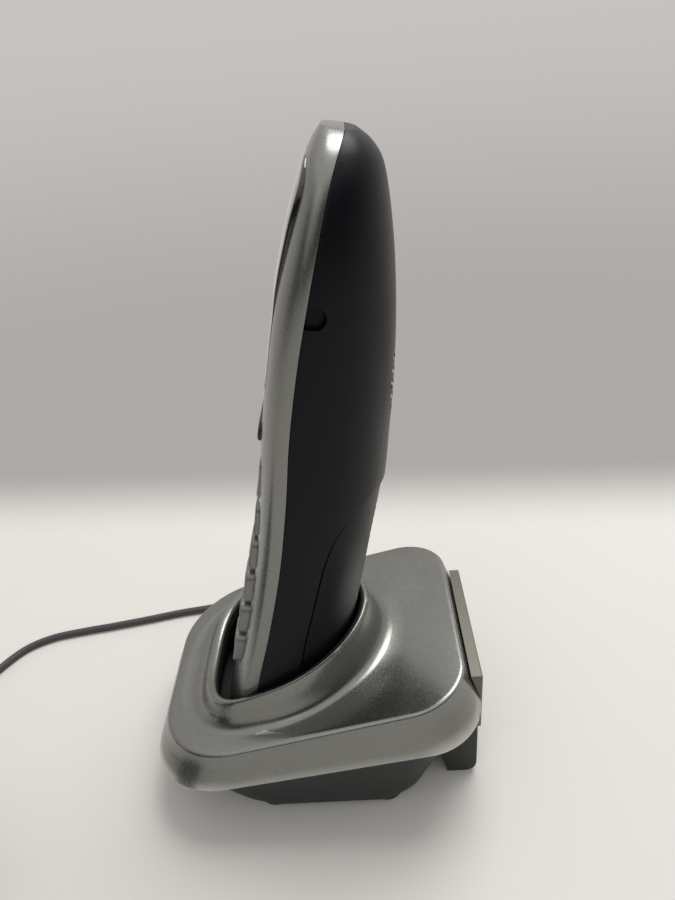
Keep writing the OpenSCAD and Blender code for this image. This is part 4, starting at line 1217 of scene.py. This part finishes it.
class PHONE_OT_base_cover(Operator):
    """Builds the base's silver cover: cradle ring, plate and skirt"""
    bl_idname = "phone.base_cover"
    bl_label = "Base cover"

    def execute(self, context):
        sizes = context.scene.phone_base
        turns = [2 * math.pi * i / sizes.turns for i in range(sizes.turns)]
        crest, soft = sizes.crest_round / MM, sizes.plate_round / MM
        loops = [[lip(a, -BEVEL, LIP_DEPTH) for a in turns],
                 [lip(a, -BEVEL, 0.5 * (LIP_DEPTH + crest)) for a in turns]]
        for i in range(7):
            t = math.radians(15 * i)
            loops.append([lip(a, -BEVEL + BEVEL * (1 - math.cos(t)), crest * (1 - math.sin(t)))
                          for a in turns])

        def wall(a, out, down):
            x, y, z = lip(a, 0, 0)
            fx, fy = ring_foot(a)
            return mix(x, fx, out), mix(y, fy, out), mix(z, plate_z(fy), down)

        for out, down in smooth_pairs(RING_WALL, 4)[1:]:
            loops.append([wall(a, min(1, max(0, out)), min(1, max(0, down))) for a in turns])
        for share in (0.25, 0.5, 0.75):
            loops.append([self.between(a, share, soft) for a in turns])
        for i in range(7):
            t = math.radians(15 * i)
            inset = soft - (soft + 0.1) * math.sin(t) ** 0.9
            drop = 1.2 * (1 - math.cos(t)) ** 1.1
            loops.append([self.at_edge(a, INSET_SIDE + inset, INSET_REAR + inset, inset, drop)
                          for a in turns])
        for share in (0.33, 0.66):
            loops.append([self.on_skirt(a, share) for a in turns])

        def level_with(flat, height):
            return [(x, y, height(y)) for x, y in flat]

        for inset, lift in ((0, 0.45), (0.08, 0.12), (0.4, 0), (SKIRT_WALL, 0)):
            loops.append(level_with([outline(a, inset, inset, inset) for a in turns],
                                    lambda y: skirt_z(y) + lift))
        loops.append(level_with([outline(a, INSET_SIDE + SKIRT_WALL, INSET_REAR + SKIRT_WALL, SKIRT_WALL + 1)
                                 for a in turns], lambda y: plate_z(y) - BASE_WALL - 0.6))
        loops.append(level_with([ring_foot(a, -BASE_WALL) for a in turns],
                                lambda y: plate_z(y) - BASE_WALL))
        loops.append([lip(a, -0.1, LIP_DEPTH) for a in turns])
        piece = make_mesh("base_cover", *loft(loops, ring=True), angle=38)
        fit(piece, "base", finish("base_paint"), "silver_paint", "base_cover")
        return {"FINISHED"}

    def between(self, a, share, soft):
        """Point of the plate on the way from the ring's foot to the plate's edge."""
        x0, y0 = ring_foot(a)
        x1, y1 = outline(a, INSET_SIDE + soft, INSET_REAR + soft, soft)
        x, y = mix(x0, x1, share), mix(y0, y1, share)
        return x, y, plate_z(y)

    def at_edge(self, a, side_in, rear_in, r_in, drop):
        x, y = outline(a, side_in, rear_in, r_in)
        return x, y, plate_z(y) - drop

    def on_skirt(self, a, share):
        x0, y0, z0 = self.at_edge(a, INSET_SIDE - 0.1, INSET_REAR - 0.1, -0.1, 1.2)
        x1, y1 = outline(a, 0, 0, 0)
        return mix(x0, x1, share), mix(y0, y1, share), mix(z0, skirt_z(y1) + 0.45, share)


class PHONE_OT_cradle(Operator):
    """Builds the cradle's black pocket"""
    bl_idname = "phone.cradle"
    bl_label = "Cradle pocket"

    def execute(self, context):
        turns = [2 * math.pi * i / 180 for i in range(180)]
        outer = [lip(a, -0.2, LIP_DEPTH + 0.1) for a in turns]
        inner = [lip(a, -1.25, LIP_DEPTH + 0.1) for a in turns]
        edge = [lip(a, -1.05, LIP_DEPTH) for a in turns]

        def down(p, w):
            fall = (p[1] - DOCK_Y) * UP[1] + (p[2] - DOCK_Z) * UP[2] - w
            return tuple(c - fall * u for c, u in zip(p, UP))

        floor = [down(p, -3) for p in inner]
        middle = tuple(sum(p[i] for p in floor) / len(floor) for i in range(3))
        well = [tuple(mix(c, m, 0.06) for c, m in zip(p, middle)) for p in floor]
        loops = [[down(p, -4.5) for p in outer], outer, edge, inner, [down(p, -1.6) for p in inner],
                 [down(p, -2.6) for p in [tuple(mix(c, m, 0.015) for c, m in zip(p, middle)) for p in inner]],
                 well]
        rails = []
        for side in (-1, 1):
            rails.append(loft([[(side * 15 + a, 0.5 + b, w) for a, b in rounded(1.5 - g, 15 - g, 0.5, 4)]
                               for w, g in ((-3.2, 0), (1.45, 0), (1.7, 0.3))]))
        rails = join(*rails)
        rails = ([dock(*p) for p in rails[0]], rails[1])
        piece = make_mesh("cradle_pocket", *join(loft(loops), rails), angle=40)
        fit(piece, "base", finish("pocket_plastic"), "black_plastic", "cradle_pocket")
        return {"FINISHED"}


class PHONE_OT_case(Operator):
    """Builds the dark lower case, its rear block, the painted rear panel and the feet"""
    bl_idname = "phone.case"
    bl_label = "Lower case"

    def execute(self, context):
        turns = [2 * math.pi * i / 180 for i in range(180)]
        levels = []
        last = len(CASE_LEVELS) - 1
        for i in range(last):
            steps = 4 if i else 3
            levels += [self.level(i + k / steps) for k in range(steps)]
        levels.append(CASE_LEVELS[-1])

        def ring_at(level, off, lift):
            points = []
            for a in turns:
                x, y = round_box(a, level[0] - off, level[1] + off, level[2] - off, level[3] - off,
                                 level[4] - off)
                t = (y - level[1]) / (level[2] - level[1])
                points.append((x, y, mix(level[5], level[6], t) + lift))
            return points

        loops = [ring_at(CASE_LEVELS[0], 3, 0)] + [ring_at(v, 0, 0) for v in levels]
        loops += [ring_at(CASE_LEVELS[i], BASE_WALL, 0 if i == last else BASE_WALL)
                  for i in range(last, -1, -1)]
        case = make_mesh("base_case", *loft(loops), angle=35)
        block = self.block()
        cut(case, [lathe([(-4, 4.9), (-0.1, 4.9), (0.35, 4.35), (4, 4.3)], POWER_SOCKET, (1, 0, 0)),
                   loft([[(x, y, z) for x, z in ((-6.3, 5.7), (6.3, 5.7), (6.3, 16.3), (-6.3, 16.3))]
                         for y in (28, 40)])]
            + [lathe([(0, 3.2), (0.4, 2.8), (5, 2.8)], (s * 10, 19, 0.9), (0, 0, 1)) for s in (-1, 1)],
            angle=35)
        fit(case, "base", finish("case_plastic"), "case_plastic", "base_case")
        fit(block, "base", finish("case_plastic"), "case_plastic")
        self.hood()
        self.feet()
        return {"FINISHED"}

    def level(self, at):
        """Case level between two of the construction's levels."""
        i = min(int(at), len(CASE_LEVELS) - 2)
        t = at - i
        return tuple(mix(a, b, t) for a, b in zip(CASE_LEVELS[i], CASE_LEVELS[i + 1]))

    def block(self):
        """Block behind the case that carries the line socket."""
        r = BLOCK_ROUND
        profile = [(35, 0.02), (36, 0.02)]
        profile += [(BLOCK_REAR - r + r * math.cos(math.radians(a)), 0.02 + r + r * math.sin(math.radians(a)))
                    for a in range(-90, 1, 10)]
        profile += [(BLOCK_REAR, 18.7), (42.75, 19), (42.4, 19.0), (42.4, 28.6), (36, 28.6), (32, 11)]
        loops = []
        middle_y, middle_z = BLOCK_MIDDLE
        for x, shrink in BLOCK_TAPER:
            loops.append([(x, y + (middle_y - y) * shrink / 6, max(0.02, z + (middle_z - z) * shrink / 12))
                          for y, z in profile])
        block = make_mesh("base_block", *loft(loops), angle=35)
        mouth = [(-4.85, 7.6), (4.85, 7.6), (4.85, 12.2), (3.0, 12.2), (3.0, 14.2), (-3.0, 14.2),
                 (-3.0, 12.2), (-4.85, 12.2)]
        cut(block, [loft([[(x * g, y, SOCKET_AT + (z - SOCKET_AT) * g) for x, z in mouth]
                          for y, g in ((30, 1), (42.6, 1), (43.4, 1.12))])], angle=35)
        return block

    def hood(self):
        """Painted rear panel that carries the cover's skirt down behind the base."""
        profile = [(42.45, HOOD_LOW), (43.4, HOOD_LOW), (HOOD_REAR, 19.35), (HOOD_REAR, 36.8), (43.5, 37.2),
                   (43.2, HOOD_HIGH), (40.6, HOOD_HIGH), (43.15, 29.4), (43.15, 28.9), (42.45, 28.9)]
        loops = []
        for x, pull in HOOD_TAPER:
            low, high = HOOD_LOW + pull * 0.5, HOOD_HIGH - pull
            loops.append([(x, min(y, HOOD_REAR - pull), max(low, min(z, high))) for y, z in profile])
        hood = make_mesh("rear_hood", *loft(loops), angle=35)
        fit(hood, "base", finish("hood_paint"), "silver_paint", "rear_hood")

    def feet(self):
        parts = []
        for x in FEET_X:
            for y in FEET_Y:
                parts.append(lathe([(0, 3.6), (0.08, 4.2), (0.3, 4.6), (0.6, 4.8), (1.95, 4.8)],
                                   (x, y, 0), (0, 0, 1), 40))
        fit(make_mesh("base_feet", *join(*parts)), "base", finish("foot_rubber"), "foot_rubber", "base_feet")


class PHONE_OT_inner_parts(Operator):
    """Puts finishes on the parts whose shapes are kept from the construction"""
    bl_idname = "phone.inner_parts"
    bl_label = "Inner parts"

    FINISHES = {
        "base_board": "board", "handset_board": "board", "power_jack": "black_plastic",
        "line_jack": "pocket_plastic", "base_screws": "steel", "handset_screws": "steel",
        "contact_left": "contact_gold", "contact_right": "contact_gold", "charge_pads": "contact_gold",
        "antenna": "contact_gold", "lcd_module": "lcd_face", "earpiece": "black_plastic",
        "keypad_mat": "mat_rubber", "microphone": "steel", "ringer_speaker": "black_plastic",
        "battery_left": "cell_wrap", "battery_right": "cell_wrap", "battery_springs": "steel",
        "battery_plates": "steel"}

    def execute(self, context):
        for name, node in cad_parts.items():
            if node.hide_render:
                continue
            if name not in self.FINISHES:
                raise RuntimeError(f"no finish for {name}")
            if not node.material_slots:
                raise RuntimeError(f"{name} has no material slot")
            for held in node.material_slots:
                held.material = finish(self.FINISHES[name])
        return {"FINISHED"}


class PHONE_OT_stage(Operator):
    """Lays the pale floor, the backdrop's tone and the soft lights"""
    bl_idname = "phone.stage"
    bl_label = "Stage"

    FLOOR_STEPS, FLOOR_REACH = 24, 1.2
    # The floor ends towards the left between these two, along a line turned by the slope.
    FADE, FADE_TURN = (-0.150, -0.094), 0.071

    def execute(self, context):
        self.floor(context)
        self.world(context)
        self.lamp("window", (-0.30, 0.20, 0.80), (0.0, 0.0, 0.04), 0.6, 4.6)
        self.lamp("fill", (0.75, -0.35, 0.55), (0.0, 0.0, 0.06), 0.7, 0.55)
        return {"FINISHED"}

    def lamp(self, name, place, target, size, watts):
        data = bpy.data.lights.new(name, "AREA")
        data.shape, data.size, data.energy = "DISK", size, watts
        lamp = bpy.data.objects.new(name, data)
        bpy.context.scene.collection.objects.link(lamp)
        lamp.location = place
        lamp.rotation_mode = "QUATERNION"
        lamp.rotation_quaternion = (Vector(target) - Vector(place)).to_track_quat("-Z", "Y")

    def floor(self, context):
        n, reach = self.FLOOR_STEPS, self.FLOOR_REACH
        points = [((i / n - 0.5) * 2 * reach, (j / n - 0.5) * 2 * reach, 0)
                  for i in range(n + 1) for j in range(n + 1)]
        faces = [(i * (n + 1) + j, (i + 1) * (n + 1) + j, (i + 1) * (n + 1) + j + 1, i * (n + 1) + j + 1)
                 for i in range(n) for j in range(n)]
        mesh = bpy.data.meshes.new("floor")
        mesh.from_pydata(points, [], faces)
        floor = bpy.data.objects.new("floor", mesh)
        context.scene.collection.objects.link(floor)
        f = Finish("floor")
        x, y, _ = f.parts(f.place())
        clouds = f.noise(0.02, 4)
        fine = f.noise(1.2, 3)
        base = f.blend((clouds * 0.7 + fine * 0.3).clamp(),
                       lighter(colours().floor, 0.985), lighter(colours().floor, 1.015))
        shade = f.node("ShaderNodeBsdfPrincipled",
                       values={"Base Color": base, "Roughness": 0.75, "Specular IOR Level": 0.25})
        clear = f.node("ShaderNodeBsdfTransparent")
        far = (x * x + y * y).root().above(0.9, 1.15)
        edge = (1 - (x - y * self.FADE_TURN).above(*self.FADE)).bigger(far)
        mixed = f.node("ShaderNodeMixShader", values={0: edge, 1: shade, 2: clear})
        f.node("ShaderNodeOutputMaterial", values={0: mixed})
        mesh.materials.append(f.material)

    def world(self, context):
        world = bpy.data.worlds.new("studio")
        world.use_nodes = True
        context.scene.world = world
        f = Finish("studio", world.node_tree)
        wall = colours().wall
        x, _, z = f.parts(f.node("ShaderNodeTexCoord", output=0))
        backdrop = f.blend(z.above(-0.34, 0.06), wall, lighter(wall, 1.36))
        room = f.blend(x.above(-0.5, 0.75), lighter(wall, 1.5), lighter(wall, 0.12))
        room = f.blend(z.above(0.35, 0.85), room, (1.0, 0.99, 0.97))
        path = f.node("ShaderNodeLightPath").socket.node
        seen = Value(f, path.outputs["Is Camera Ray"]).bigger(Value(f, path.outputs["Is Glossy Ray"])).bigger(
            Value(f, path.outputs["Is Transmission Ray"]))
        light = f.node("ShaderNodeBackground", values={0: (1.0, 0.995, 0.985, 1), 1: 0.58})
        shown = f.node("ShaderNodeBackground", values={0: backdrop, 1: 1.0})
        gloss = f.node("ShaderNodeBackground", values={0: room, 1: 1.0})
        mirrored = f.node("ShaderNodeMixShader",
                          values={0: Value(f, path.outputs["Is Glossy Ray"]), 1: shown, 2: gloss})
        surround = f.node("ShaderNodeMixShader", values={0: seen, 1: light, 2: mirrored})
        f.node("ShaderNodeOutputWorld", values={0: surround})


class PHONE_PT_panel(Panel):
    """Sizes, colours and the pieces of the telephone"""
    bl_idname = "PHONE_PT_panel"
    bl_label = "Telephone"
    bl_space_type = "VIEW_3D"
    bl_region_type = "UI"
    bl_category = "Telephone"

    def draw(self, context):
        for group in (context.scene.phone_handset, context.scene.phone_base, context.scene.phone_cord,
                      context.scene.phone_colours):
            box = self.layout.box()
            for name in group.__annotations__:
                box.prop(group, name)
        for operator in OPERATORS:
            self.layout.operator(operator.bl_idname)


OPERATORS = [PHONE_OT_camera, PHONE_OT_cord, PHONE_OT_front_frame, PHONE_OT_rear_shell,
             PHONE_OT_battery_cover, PHONE_OT_faceplate, PHONE_OT_keys, PHONE_OT_base_cover,
             PHONE_OT_cradle, PHONE_OT_case, PHONE_OT_inner_parts, PHONE_OT_stage]
GROUPS = {"phone_handset": HandsetSizes, "phone_base": BaseSizes, "phone_cord": CordSizes,
          "phone_colours": FinishColours}


def register():
    for name, group in GROUPS.items():
        bpy.utils.register_class(group)
        setattr(bpy.types.Scene, name, PointerProperty(type=group))
    for cls in (*OPERATORS, PHONE_PT_panel):
        bpy.utils.register_class(cls)


def unregister():
    for cls in (PHONE_PT_panel, *reversed(OPERATORS)):
        bpy.utils.unregister_class(cls)
    for name, group in GROUPS.items():
        delattr(bpy.types.Scene, name)
        bpy.utils.unregister_class(group)


def main():
    register()
    bpy.context.scene.view_settings.view_transform = "Standard"
    for operator in OPERATORS:
        family, name = operator.bl_idname.split(".")
        if getattr(getattr(bpy.ops, family), name)() != {"FINISHED"}:
            raise RuntimeError(f"{operator.bl_label} did not finish")


if __name__ == "__main__":
    main()
